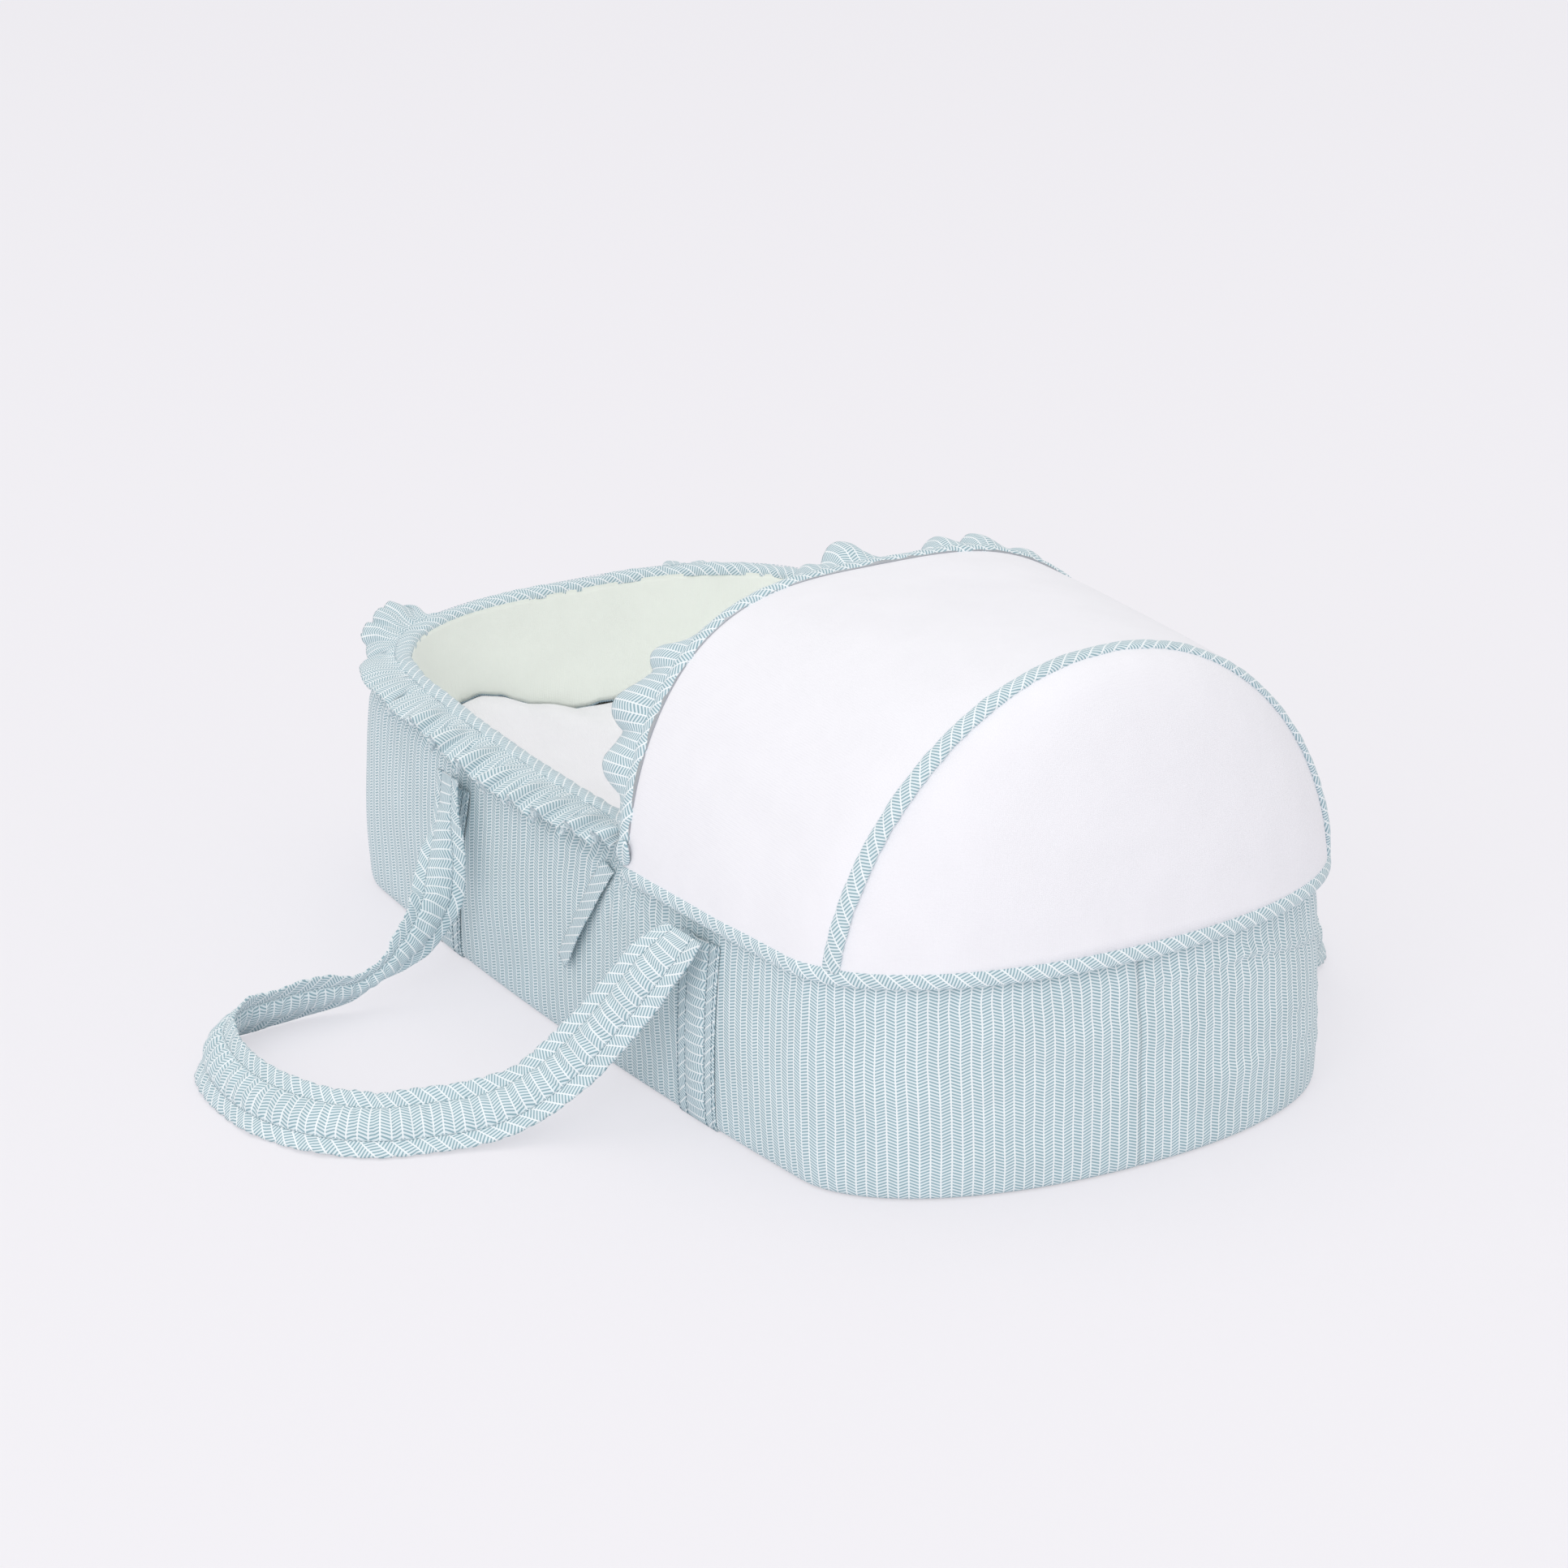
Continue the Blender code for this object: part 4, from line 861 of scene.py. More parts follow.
# Each pleat: where it ends along the rim, the stretch's bulge and the loop's steepness in degrees,
# the loop's radius, whether it stands up (1) or tucks under (-1), and its straight leg.
near_pleats = [
    (0.304, 12, 122, 0.0026, -1, 0.0050),
    (0.335, 10, 60, 0.0016, -1, 0.0),
    (0.366, 22, 102, 0.0060, 1, 0.0020),
    (0.384, 14, 100, 0.0028, -1, 0.0030),
    (0.403, 26, 104, 0.0064, 1, 0.0020),
    (0.4215, 14, 98, 0.0028, -1, 0.0035),
    (0.440, 30, 100, 0.0060, 1, 0.0035),
    (0.457, 12, 104, 0.0024, -1, 0.0030),
    (0.474, 26, 104, 0.0058, 1, 0.0020),
    (0.494, 12, 90, 0.0026, -1, 0.0020),
    (0.511, 22, 100, 0.0044, 1, 0.0020),
    (0.528, 12, 100, 0.0024, -1, 0.0030),
    (0.545, 26, 100, 0.0056, 1, 0.0025),
    (0.564, 16, 104, 0.0026, -1, 0.0025),
    (0.581, 22, 100, 0.0046, 1, 0.0020),
    (0.596, 10, 80, 0.0018, -1, 0.0010),
    (0.610, 22, 98, 0.0052, 1, 0.0045),
]
near_frill = rim_frill(
    "near_frill", frill_start, frill_end, "near_rim_frill", 11, spaced_pleats(near_pleats, frill_start))

# The foot frill's pleats round the near corner, in the same form.
corner_pleats = [
    (0.128, 12, 70, 0.0016, -1, 0.0),
    (0.148, 22, 100, 0.0032, -1, 0.0010),
    (0.164, 18, 95, 0.0028, 1, 0.0),
    (0.186, 18, 118, 0.0030, -1, 0.0030),
    (0.207, 10, 70, 0.0018, -1, 0.0),
    (0.2732, 10, 40, 0.0010, -1, 0.0),
]
foot_pleats = random_pleats(frill_start + 0.10, 12) + spaced_pleats(corner_pleats, 0.104)
rim_frill("foot_frill", -frill_start, frill_start, "foot_rim_frill", 12, foot_pleats)
far_frill = rim_frill("far_frill", total - frill_end, total - frill_start, "far_rim_frill", 13)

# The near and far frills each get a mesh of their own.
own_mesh(near_frill)
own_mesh(far_frill)

# %% [markdown]
# ## The lining
#
# Inside, the wall is faced with grey-green cotton, and a loose skirt of the same cotton hangs from
# the binding over the mattress. Its cut edge is overlocked in grey-blue thread and waves, because
# the stitching has stretched it. The skirt is the part that shows, and its hem follows a slow wave.

# %% Lining wall and skirt
hem_height = 0.084
hem_wave = 0.0022
hem_rise = 0.023
skirt_rows = 20


def corner_rise(x, y):
    """How much of their rise the hem and the mattress have, most next to the foot's near corner."""
    places = [-0.19, -0.14, -0.105, -0.08, -0.06, -0.04, -0.02, 0.0]
    across = np.interp(y, places, [0.70, 1.0, 1.08, 1.15, 0.92, 0.54, 0.34, 0.0])
    return smooth((-x - 0.24) / 0.09) * across


def hem_at(x, y):
    """How high the skirt's hem hangs: a slow wave, and the rise at the foot corner."""
    waves = hem_wave * noise_at(stacked(x, y, 0.0), 0.05, 21)
    return hem_height + waves + hem_rise * corner_rise(x, y)


def lining_wall():
    """The inner face of the wall, behind the skirt and beside the mattress."""
    distance = np.linspace(0, total, 321)[:-1][None, :]
    rim_z = rim_at(distance)
    z = 0.008 + (rim_z - rim_depth * 0.6 - 0.008) * np.linspace(0, 1, 22)[:, None]
    inset = inner_inset(z, rim_z)
    points = place(distance, inset, z)
    points += grid_normals(points, True) * (0.0005 * noise_at(points, (0.05, 0.05, 0.03), 6))[..., None]
    uv = stacked(np.linspace(0, total, 321), closed_band(points)[..., 2])
    obj = cloth("lining_wall", points, uv, "in", closed=True)
    return thicken(obj, 0.0008)


def skirt_points(rows):
    """The loose skirt: it hangs straight from the binding and its hem waves."""
    columns = int(total / 0.004)
    distance = np.linspace(0, total, columns + 1)[:-1][None, :]
    rim_z = rim_at(distance)
    x, y = plan(distance)
    spots = stacked(x, y, 0.0)
    bottom = hem_at(x, y) + 0.0010 * noise_at(spots, 0.0075, 22)
    share = np.linspace(0, 1, rows)[:, None]
    top = rim_z - rim_depth * 0.46
    z = bottom + (top - bottom) * share
    rim_face = rim_inset + rim_width / 2 + 0.0002
    inset = rim_face + tuck(distance) + 0.0006 * np.sin(math.pi * share) + 0.0012 * (1 - share) ** 2
    points = place(distance, inset, z, 1.0)
    flow = noise_at(points, (0.05, 0.05, 0.04), 23) * 0.0010 * np.sin(math.pi * share * 0.9)
    flare = 0.0007 * noise_at(spots, 0.03, 24) * (1 - share) ** 3
    pucker = 0.0006 * noise_at(points, (0.008, 0.008, 0.05), 25) * np.exp(-((1 - share) / 0.12))
    core = stacked(np.clip(points[..., 0], -core_reach, core_reach), 0.0, points[..., 2])
    normal = turned(grid_normals(points, True), core - points)
    return points + normal * (flow + flare + pucker)[..., None]


def lining_skirt():
    """The skirt as a thin closed sheet."""
    points = skirt_points(skirt_rows)
    run = np.linspace(0, total, points.shape[1] + 1)
    obj = cloth("lining_skirt", points, stacked(run, closed_band(points)[..., 2]), "in", closed=True)
    return thicken(obj, 0.0007)


finish(lining_wall(), lining_cotton, "basket", "green_lining", "inner_lining")
finish(lining_skirt(), lining_cotton, "basket", "green_lining", "lining_hem")

# %% [markdown]
# ## The mattress
#
# A foam block in a fitted white sheet. It is a closed padded form with a low crown and full edges,
# and its top edge follows the skirt's hem, which lies on it.

# %% Mattress
mattress_lift = 0.0006
crown_shares = (0.985, 0.97, 0.9, 0.8, 0.7, 0.6, 0.5, 0.4, 0.3, 0.2, 0.1, 0.0)


def mattress():
    """The mattress in its sheet, from rings drawn in towards the middle."""
    distance = np.linspace(0, total, 361)[:-1][None, :]
    side_gap, under_gap, sheet_over = 0.0040, 0.0006, 0.001
    under_edge, top_edge, bulge, crown_height = 0.006, 0.002, 0.0006, 0.007
    side = rim_inset + rim_width / 2 + side_gap
    low, high = mattress_low + under_gap, mattress_high + sheet_over
    turn = np.linspace(0, math.pi / 2, 6)
    base = [(side + under_edge, low, s) for s in (0.0, 0.25, 0.5, 0.75, 0.95)]
    under = [
        (side + under_edge * (1 - math.sin(a)), low + under_edge * (1 - math.cos(a)), 1.0)
        for a in turn
    ]
    walls = [
        (side - bulge * math.sin(math.pi * s), low + under_edge + (high - low - 0.008) * s, 1.0)
        for s in (0.2, 0.4, 0.6, 0.8, 1.0)
    ]
    over = [
        (side + top_edge * (1 - math.cos(a)), high - top_edge * (1 - math.sin(a)), 1.0)
        for a in turn[1:]
    ]
    crown = [(side + top_edge, high + crown_height * (1 - s**3), s) for s in crown_shares]
    rows, edges = [], []
    for inset, z, share in base + under + walls + over + crown:
        edges.append(smooth((share - 0.7) / 0.28))
        ring = place(distance, inset + tuck(distance), z, 1.0)[0]
        middle = (ring[:, 0].min() + ring[:, 0].max()) / 2
        ring[:, 0] = middle + (ring[:, 0] - middle) * share
        ring[:, 1] *= share
        rows.append(ring)
    points = np.array(rows)
    top = smooth((points[..., 2] - high + 0.012) / 0.012)
    x, y = points[..., 0], points[..., 1]
    rise = hem_rise * corner_rise(x, y)
    waves = (hem_at(x, y) - hem_height - rise) * np.array(edges)[:, None]
    points[..., 2] += top * (hem_height + rise + mattress_lift - high + waves)
    lumps = 0.0009 * noise_at(points, (0.12, 0.05, 1), 31) + 0.0004 * noise_at(points, 0.02, 32)
    points[..., 2] += top * lumps
    obj = cloth("mattress_pad", points, closed_band(points)[..., :2].copy(), "out", closed=True)
    close_up(obj, weld=0.00002)
    return obj


finish(mattress(), jersey, "mattress", "white_cotton", "mattress_foam", "mattress_sheet")

# %% [markdown]
# ## The hood's arches
#
# Two bows of unlike shape carry the hood: the front one leans forward and is nearly square at its
# shoulders, the middle one leans back and is rounder. The cloth between them changes smoothly from
# one arch to the other, so each arch is a superellipse and all five of its numbers are blended.

# %% Arch lines


def arch(share, low_z, count):
    """Points of the arch at a share of the way from the front bow to the middle bow."""
    share = np.atleast_1d(share)[:, None]
    blended = [front + (middle - front) * share for front, middle in zip(front_arch, middle_arch)]
    position, lean, rise, side_power, top_power = blended
    low = (low_z - hood_base) / rise
    first = np.arcsin(low ** (top_power / 2))
    angle = first + (math.pi - 2 * first) * np.linspace(0, 1, count + 1)[None, :]
    height = np.clip(np.sin(angle), 0, 1) ** (2 / top_power)
    half = np.interp(position, near_side[:, 0], -near_side[:, 1]) + hood_outset
    side = half * np.clip(1 - height**top_power, 0, 1) ** (1 / side_power)
    side = side * np.where(angle < math.pi / 2, -1.0, 1.0)
    return stacked(position + np.tan(lean) * rise * height, side, hood_base + rise * height)


def arch_frames(share, low_z, count):
    """Places along one arch with the ways over the fabric and out of it."""
    step = 0.15 if share < 0.5 else -0.15
    lines = arch([share, share + step], low_z, count)
    line = lines[0]
    along = np.gradient(line, axis=0)
    along /= np.linalg.norm(along, axis=-1, keepdims=True)
    fabric = lines[1] - line
    fabric -= along * (fabric * along).sum(-1, keepdims=True)
    fabric /= np.linalg.norm(fabric, axis=-1, keepdims=True)
    return line, fabric, turned(np.cross(along, fabric), line - (0.2, 0, 0.1))


# %% [markdown]
# ## The hood's panels
#
# The vault is one sheet between the bows, and a second sheet rounds down from the middle bow to the
# hem. The cloth is stretched on the bows, so it is smooth, with only a faint slackness near the hem.

# %% Vault and end panel


def hood_vault():
    """The white sheet between the two bows."""
    share = np.linspace(-0.022, 1.0, 50)
    points = arch(share, hem_top - 0.004, 150)
    normal = turned(grid_normals(points), points - (0.22, 0, 0.1))
    drop = np.exp(-(points[..., 2] - hem_top) / 0.03)
    slack = noise_at(points, (0.05, 0.05, 0.09), 41) * 0.0005 * drop + noise_at(points, 0.09, 42) * 0.0004
    inside = np.sin(math.pi * np.clip(share, 0, 1))[:, None] ** 0.5
    points += normal * (slack * inside)[..., None]
    uv = stacked(arc_lengths(points, 0), arc_lengths(points, 1))
    obj = cloth("hood_vault", points, uv, "out")
    return thicken(obj, thin_cloth)


def hood_end():
    """The white sheet from the middle bow down to the hem round the head end."""
    columns, rows = 160, 40
    low = hem_top - 0.004
    start, end = distance_at(middle_arch[0]), distance_at(middle_arch[0], 1)
    top = arch(1.0, low + 0.001, columns)[0]
    distance = start + (end - start) * np.linspace(0, 1, columns + 1)
    foot = place(distance, -hood_outset, low)
    angle = np.linspace(0, math.pi / 2, rows + 1)[:, None, None]
    out = np.sin(angle) ** 0.72
    down = np.clip(np.cos(angle), 0, 1) ** 0.86
    flat = top + (foot - top) * out
    points = np.concatenate([flat[..., :2], foot[..., 2:] + (top[..., 2:] - foot[..., 2:]) * down], -1)
    normal = turned(grid_normals(points), points - (0.28, 0, 0.1))
    slack = noise_at(points, (0.06, 0.06, 0.05), 43) * 0.0005 * np.sin(2 * angle[..., 0])
    points += normal * slack[..., None]
    uv = stacked(arc_lengths(points, 0), arc_lengths(points, 1))
    obj = cloth("hood_end", points, uv, "out")
    return thicken(obj, thin_cloth)


def mesh_points(obj):
    """A mesh's points as rows of x, y and z."""
    spots = np.empty(len(obj.data.vertices) * 3)
    obj.data.vertices.foreach_get("co", spots)
    return spots.reshape(-1, 3)


vault = finish(hood_vault(), percale, None, "white_cotton", "hood_top_panel")

# The vault's foot is sewn to the hem. Its points are moved for a moment to places between two planes
# that stand just inside the two bows' feet, the transform is baked, and then they go back.
blend_start, blend_reach = 0.315, 0.187
rest_spots = mesh_points(vault)
front_share = np.clip((blend_start - rest_spots[:, 0]) / blend_reach, 0, 1)
free = smooth((rest_spots[:, 2] - hem_top) / 0.12)
at_hinge = smooth((0.135 - rest_spots[:, 0]) / 0.02)
front_share *= free + (1 - free) * at_hinge
weighing = rest_spots.copy()
weighing[:, 0] = blend_start - blend_reach * front_share
vault.data.vertices.foreach_set("co", weighing.ravel())
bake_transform(vault)
vault.data.vertices.foreach_set("co", rest_spots.ravel())
vault.data.update()
finish(hood_end(), percale, "basket", "white_cotton", "hood_end_panel")

# %% [markdown]
# ## Bow casings
#
# Each bow runs in a casing of the printed cotton, cut on the bias. It is an oval tube swept along
# the arch, a little lumpy where the cloth is gathered on to the wire.

# %% Casings
casing_lead = 0.0035
casing_turn = 47.0


def oval(turn, power_across, power_out):
    """A rounded box's section: its cosine and sine, each raised to a power that keeps its sign."""
    across = np.sign(np.cos(turn)) * np.abs(np.cos(turn)) ** power_across
    out = np.sign(np.sin(turn)) * np.abs(np.sin(turn)) ** power_out
    return across, out


def casing(name, share, low_z, width, depth, seed, lead=0.0):
    """A bias strip round one bow."""
    count = 200
    line, fabric, out = arch_frames(share, low_z, count)
    line = line - fabric * lead
    turn = np.linspace(-math.pi / 2, 3 * math.pi / 2, 17)[:-1][:, None, None]
    across, lift = oval(turn, 1.0, 0.8)
    points = line + fabric * across * width / 2 + out * lift * depth / 2
    lumps = 0.00045 * noise_at(points, 0.010, seed) + 0.0003 * noise_at(points, 0.03, seed + 1)
    points += unit(points - line) * lumps[..., None]
    wrapped = np.concatenate([points, points[:1]], 0)
    around = arc_lengths(wrapped, 0)[:, count // 2][:, None]
    uv = bias(arc_lengths(line[None], 1), around, casing_turn)
    return close_up(cloth(name, points, uv, "out", looped=True))


finish(
    casing("front_casing", share=0.0, low_z=0.1535, width=0.0102, depth=0.0058, seed=51, lead=casing_lead),
    poplin, "hood_front", "printed_cotton", "front_binding")
finish(
    casing("middle_casing", share=1.0, low_z=hem_top - 0.002, width=0.0125, depth=0.0054, seed=53),
    poplin, "basket", "printed_cotton", "middle_band")

# %% [markdown]
# ## The hood's frill
#
# The same strip, narrower and less full, is sewn to the front casing. Its pleats are few and wide:
# the cloth stands out in broad arches with a tight crease between them, and it sags in three places.
# The arches are placed from the near foot over the top to the far foot.

# %% Hood frill
hood_frill_width = 0.0285

# Each arch: where it ends along the bow, how much it bulges and how far it droops, in degrees.
hood_arches = [
    (0.022, 25, 25), (0.062, 48, 4), (0.105, 50, 4), (0.137, 42, 12), (0.180, 20, 66), (0.222, 20, 62),
    (0.246, 40, 8), (0.290, 46, 0), (0.317, 20, 50), (0.350, 42, 4), (0.385, 46, 6), (0.425, 44, 10),
    (0.465, 40, 12), (0.505, 44, 10), (0.537, 30, 25),
]


def read_along(places, run, values):
    """Rows of x, y and z read off at places along a run."""
    return stacked(*(np.interp(places, run, values[:, axis]) for axis in range(3)))


def hood_frill():
    """The frill along the front bow."""
    line, fabric, out = arch_frames(0.0, hood_base + 0.026, 900)
    run = arc_lengths(line[None], 1)[0]
    pleats, start = [], 0.0
    for end, bulge, _ in hood_arches:
        arc = math.radians(bulge)
        pleats.append(((end - start - 0.004) * arc / math.sin(arc), arc, arc + 0.65, 0.0016, -1))
        start = end
    cloth_run, along, height = pleated_line(pleats, run[-1])
    share = np.linspace(0, 1, 15)[:, None]
    grow = share**0.8 * smooth(share * 1.8 + 0.05)
    even = cloth_run / cloth_run[-1] * run[-1]
    place_on = even + (along - even) * grow
    base, forward, lift = [read_along(place_on, run, values) for values in (line, -fabric, out)]
    ends = smooth(np.minimum(even, run[-1] - even) / 0.05)
    arch_ends = np.array([0.0] + [end for end, _, _ in hood_arches])
    middles = (arch_ends[1:] + arch_ends[:-1]) / 2
    droop = np.radians(np.interp(along, middles, [mean for _, _, mean in hood_arches]))
    index = np.clip(np.searchsorted(arch_ends, along) - 1, 0, len(middles) - 1)
    local = np.clip((along - arch_ends[index]) / (arch_ends[index + 1] - arch_ends[index]), 0, 1)
    height = height * (1 + 0.75 * np.cos(math.pi * local))
    reach = hood_frill_width * (0.5 + 0.5 * ends)
    gathers = seam_gathers(cloth_run, share, 0.004, 63, 0.15)
    out_share, down, slope = drape(share, droop)
    lifted = height * grow * (0.4 + 0.6 * ends) + gathers
    points = base + forward * (casing_lead + 0.0036 + out_share * reach + lifted * np.sin(slope))[..., None]
    points = points + lift * (lifted * np.cos(slope) - down * reach)[..., None]
    obj = cloth("hood_front_frill", points, stacked(cloth_run, share * hood_frill_width), "out")
    return thicken(obj, thin_cloth, 0.0, True)


finish(hood_frill(), poplin, "hood_front", "printed_cotton", "hood_frill")

# %% [markdown]
# ## The hood's hem
#
# A rolled, drawn hem pulls the hood's lower edge against the wall. It is a thick soft roll, puckered
# on the two long sides where it is gathered, and smoother round the head end.

# %% Hood hem
hem_start_x = 0.1060


def hood_hem():
    """The rolled hem round the hood's lower edge."""
    start, end = distance_at(hem_start_x), distance_at(hem_start_x, 1)
    count = int((end - start) / 0.0022)
    distance = np.linspace(start, end, count + 1)[None, :]
    rim_z = rim_at(distance)
    wall = outer_inset(hem_low, rim_z)
    depth = wall + hem_outset
    turn = np.linspace(math.pi, 3 * math.pi, 21)[:-1][:, None]
    middle = (hem_low + hem_top) / 2
    tall = (hem_top - hem_low) / 2
    ends = smooth(np.minimum(distance - start, end - distance) / 0.006 + 0.15)
    across, rise = oval(turn, 0.75, 0.85)
    inset = wall - 0.0004 - depth / 2 * (1 + across) * ends
    z = middle + rise * tall * ends
    points = place(distance, inset, z)
    way = unit(points - place(distance, wall - depth / 2, middle))
    long_side = smooth((0.36 - points[..., 0]) / 0.08)
    push = 0.0006 * noise_at(points, 0.009, 71) * (0.35 + 0.65 * long_side)
    push += 0.0004 * noise_at(points, 0.03, 72)
    points += way * (push * smooth((0.6 - across) * 2))[..., None]
    wrapped = np.concatenate([points, points[:1]], 0)
    around = arc_lengths(wrapped, 0)[:, count // 2][:, None]
    uv = bias(distance - start, around, casing_turn)
    return close_up(cloth("hood_hem_roll", points, uv, "out", looped=True))


finish(hood_hem(), poplin, "basket", "printed_cotton", "hood_hem")

# %% [markdown]
# ## Stitches
#
# Sewing repeats one small shape along a path, which is what Geometry Nodes are good at. The tree
# takes a chain of edges, turns it into a curve, puts a point every pitch, and sets a small stretched
# ball of thread on each point, turned along the curve. It ends by making real geometry of the copies.

# %% Stitch tree


def stitch_tree(material):
    """The node tree that sews a path: inputs are the pitch, the stitch's length and its thickness."""
    tree = bpy.data.node_groups.new("sewn_line", "GeometryNodeTree")
    tree.interface.new_socket("Geometry", in_out="INPUT", socket_type="NodeSocketGeometry")
    for name in ("Pitch", "Length", "Thickness"):
        tree.interface.new_socket(name, in_out="INPUT", socket_type="NodeSocketFloat")
    tree.interface.new_socket("Geometry", in_out="OUTPUT", socket_type="NodeSocketGeometry")
    given = add_node(tree, "NodeGroupInput").outputs
    path = add_node(tree, "GeometryNodeMeshToCurve", [given["Geometry"]]).outputs[0]
    spacing = {"Curve": path, "Length": given["Pitch"]}
    points = add_node(tree, "GeometryNodeCurveToPoints", spacing, mode="LENGTH")
    ball = add_node(tree, "GeometryNodeMeshUVSphere", {"Segments": 6, "Rings": 4, "Radius": 0.5})
    smooth_ball = add_node(tree, "GeometryNodeSetShadeSmooth", [ball.outputs[0]])
    size = add_node(tree, "ShaderNodeCombineXYZ", [given["Thickness"], given["Thickness"], given["Length"]])
    sewn = add_node(tree, "GeometryNodeInstanceOnPoints", {
        "Points": points.outputs["Points"], "Instance": smooth_ball.outputs[0],
        "Rotation": points.outputs["Rotation"], "Scale": size.outputs[0],
    })
    real = add_node(tree, "GeometryNodeRealizeInstances", [sewn.outputs[0]])
    dressed = {"Geometry": real.outputs[0], "Material": material}
    coloured = add_node(tree, "GeometryNodeSetMaterial", dressed)
    add_node(tree, "NodeGroupOutput", [coloured.outputs[0]])
    return tree


sewing = stitch_tree(thread)


def sew(name, lines, body, tree=sewing, pitch=0.0030, length=0.0022, thickness=0.0005):
    """Stitches along one or more lines of points."""
    vertices, edges = [], []
    for line in lines:
        start = len(vertices)
        vertices += [tuple(point) for point in line]
        edges += [(start + i, start + i + 1) for i in range(len(line) - 1)]
    mesh = bpy.data.meshes.new(name)
    mesh.from_pydata(vertices, edges, [])
    obj = bpy.data.objects.new(name, mesh)
    bpy.context.scene.collection.objects.link(obj)
    nodes = obj.modifiers.new("Sewing", "NODES")
    nodes.node_group = tree
    sizes = {"Pitch": pitch, "Length": length, "Thickness": thickness}
    for item in tree.interface.items_tree:
        if item.in_out == "INPUT" and item.name in sizes:
            nodes[item.identifier] = sizes[item.name]
    settle(obj)
    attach(obj, body)
    print(name, len(obj.data.polygons), "faces")


# %% [markdown]
# ## Straps and carrying loops
#
# Two straps carry the basket. Each runs up the near wall, under the base and up the far wall, and a
# loop on each side joins their tops. Straps and loops are sewn as a padded channel between two flat
# edges. The stitch lines beside the channel pull the cloth into small gathers, which is what gives
# the loops their ribbed look.

# %% A padded strap's section
channel_half = 0.011
half_strap = strap_width / 2
edge_turn = 42.0
strap_pitch = 0.0032
strap_thread = 0.0006


def strap_section():
    """Places across a strap: the stitch lines get close pairs, where the print changes direction."""
    edge = np.linspace(-half_strap, -channel_half - 0.0002, 7)
    core = np.linspace(-channel_half + 0.0002, channel_half - 0.0002, 13)
    return np.concatenate([edge, core, -edge[::-1]])


def strap_uv(run, across):
    """The print on a strap: straight across the channel, slanting on both edges."""
    core = (np.abs(across) < channel_half)[..., None]
    return np.where(core, stacked(run, across), bias(run, across, edge_turn))


def gather_arches(run, seed, low=0.0085, high=0.0150):
    """0 where the stitches pinch the channel, 1 half way between, for places along a strap."""
    marks = np.cumsum(np.random.default_rng(seed).uniform(low, high, 400)) - high
    index = np.clip(np.searchsorted(marks, run), 1, len(marks) - 1)
    share = (run - marks[index - 1]) / (marks[index] - marks[index - 1])
    return np.clip(1 - (2 * share - 1) ** 2, 0, 1) ** 0.55


def strap_puff(run, across, height, seed):
    """How far one face of a strap stands from its middle surface."""
    share = np.abs(across) / channel_half
    tilted = run + 0.22 * across + 0.0006 * np.sin(across / 0.003 + seed)
    pinch = 1 - gather_arches(tilted, seed)
    lump = noise_at(stacked(run, across, 0.0), 0.008, seed)
    channel = np.clip(1 - share**2, 0, 1) ** 0.5
    channel = channel * (1 - pinch * (0.30 + 0.62 * np.clip(share, 0, 1) ** 2)) * (1 + 0.16 * lump)
    outer_share = half_strap / channel_half
    flange = np.clip((share - 1) * (outer_share - share), 0, None) * 4 / (outer_share - 1) ** 2
    return 0.0007 + height * channel + 0.0006 * flange * (1.2 - pinch)


# %% Straps on the wall


def wall_strap(name, x, slant, node, seed):
    """A strap up both walls and under the base, as one padded sheet."""
    across = strap_section()[None, :]
    path = []
    for near in (-1, 1):
        rise = np.linspace(0.001, axis_height - 0.006, 60)[:, None]
        # The foot strap narrows and bends towards the head where it meets the loop.
        high = smooth((rise - 0.07) / 0.055) * (1 if x < 0 else 0)
        shifted = x + across * (1 - 0.2 * high) + slant * rise / axis_height + 0.0085 * high
        distance = distance_at(shifted, near)
        inset = outer_inset(rise, rim_at(distance))
        corner = 0.004 * np.clip(1 - rise / 0.006, 0, 1) ** 2
        side = place(distance, inset + corner * 0.5, rise)
        side[..., 0] = shifted
        path.append(side)
    under_y = np.linspace(-0.19, 0.19, 21)[:, None]
    under = stacked(x + across, under_y, 0.0016)
    middle = np.concatenate([path[0][::-1], under, path[1]])
    out = turned(grid_normals(middle), middle - (x, 0, 0.06))
    run = arc_lengths(middle, 0)[:, 10:11]
    flat_under = smooth((middle[..., 2] - 0.003) / 0.02)
    face = strap_puff(run, across, 0.0034, seed)
    lift = np.where(middle[..., 2] < 0.003, 0.0011, 0.0008 + face * (0.3 + 0.7 * flat_under))
    points = middle + out * lift[..., None]
    obj = cloth(name, points, strap_uv(run, across), "out")
    thicken(obj, 0.0008)
    finish(obj, poplin, "basket", "printed_cotton", node)
    seams = [points[:, column] + out[:, column] * 0.0004 for column in (1, 6, 20, 25)]
    for seam in seams:
        seam[:, 2] = np.maximum(seam[:, 2], 0.0005)
    sew(name + "_stitches", seams, "basket", pitch=strap_pitch, length=0.0023, thickness=strap_thread)


wall_strap("foot_wall_strap", foot_strap_x, slant=0.022, node="foot_strap", seed=81)
wall_strap("head_wall_strap", head_strap_x, slant=0.010, node="head_strap", seed=82)

# %% [markdown]
# ## The carrying loops
#
# A loop's route is a short list of places, as shares of its span, its reach and the
# height of its root, each with the way its width points. A smooth curve runs through them. The near
# loop lies on the floor with a half twist. The far one, hidden behind the basket, leans towards the
# foot and lies closer to the wall.

# %% Loop routes
loop_ends = (-0.144, 0.193)
axis_offset = middle_width / 2 + 0.0072
near_reach = 0.2225
far_reach = 0.1270

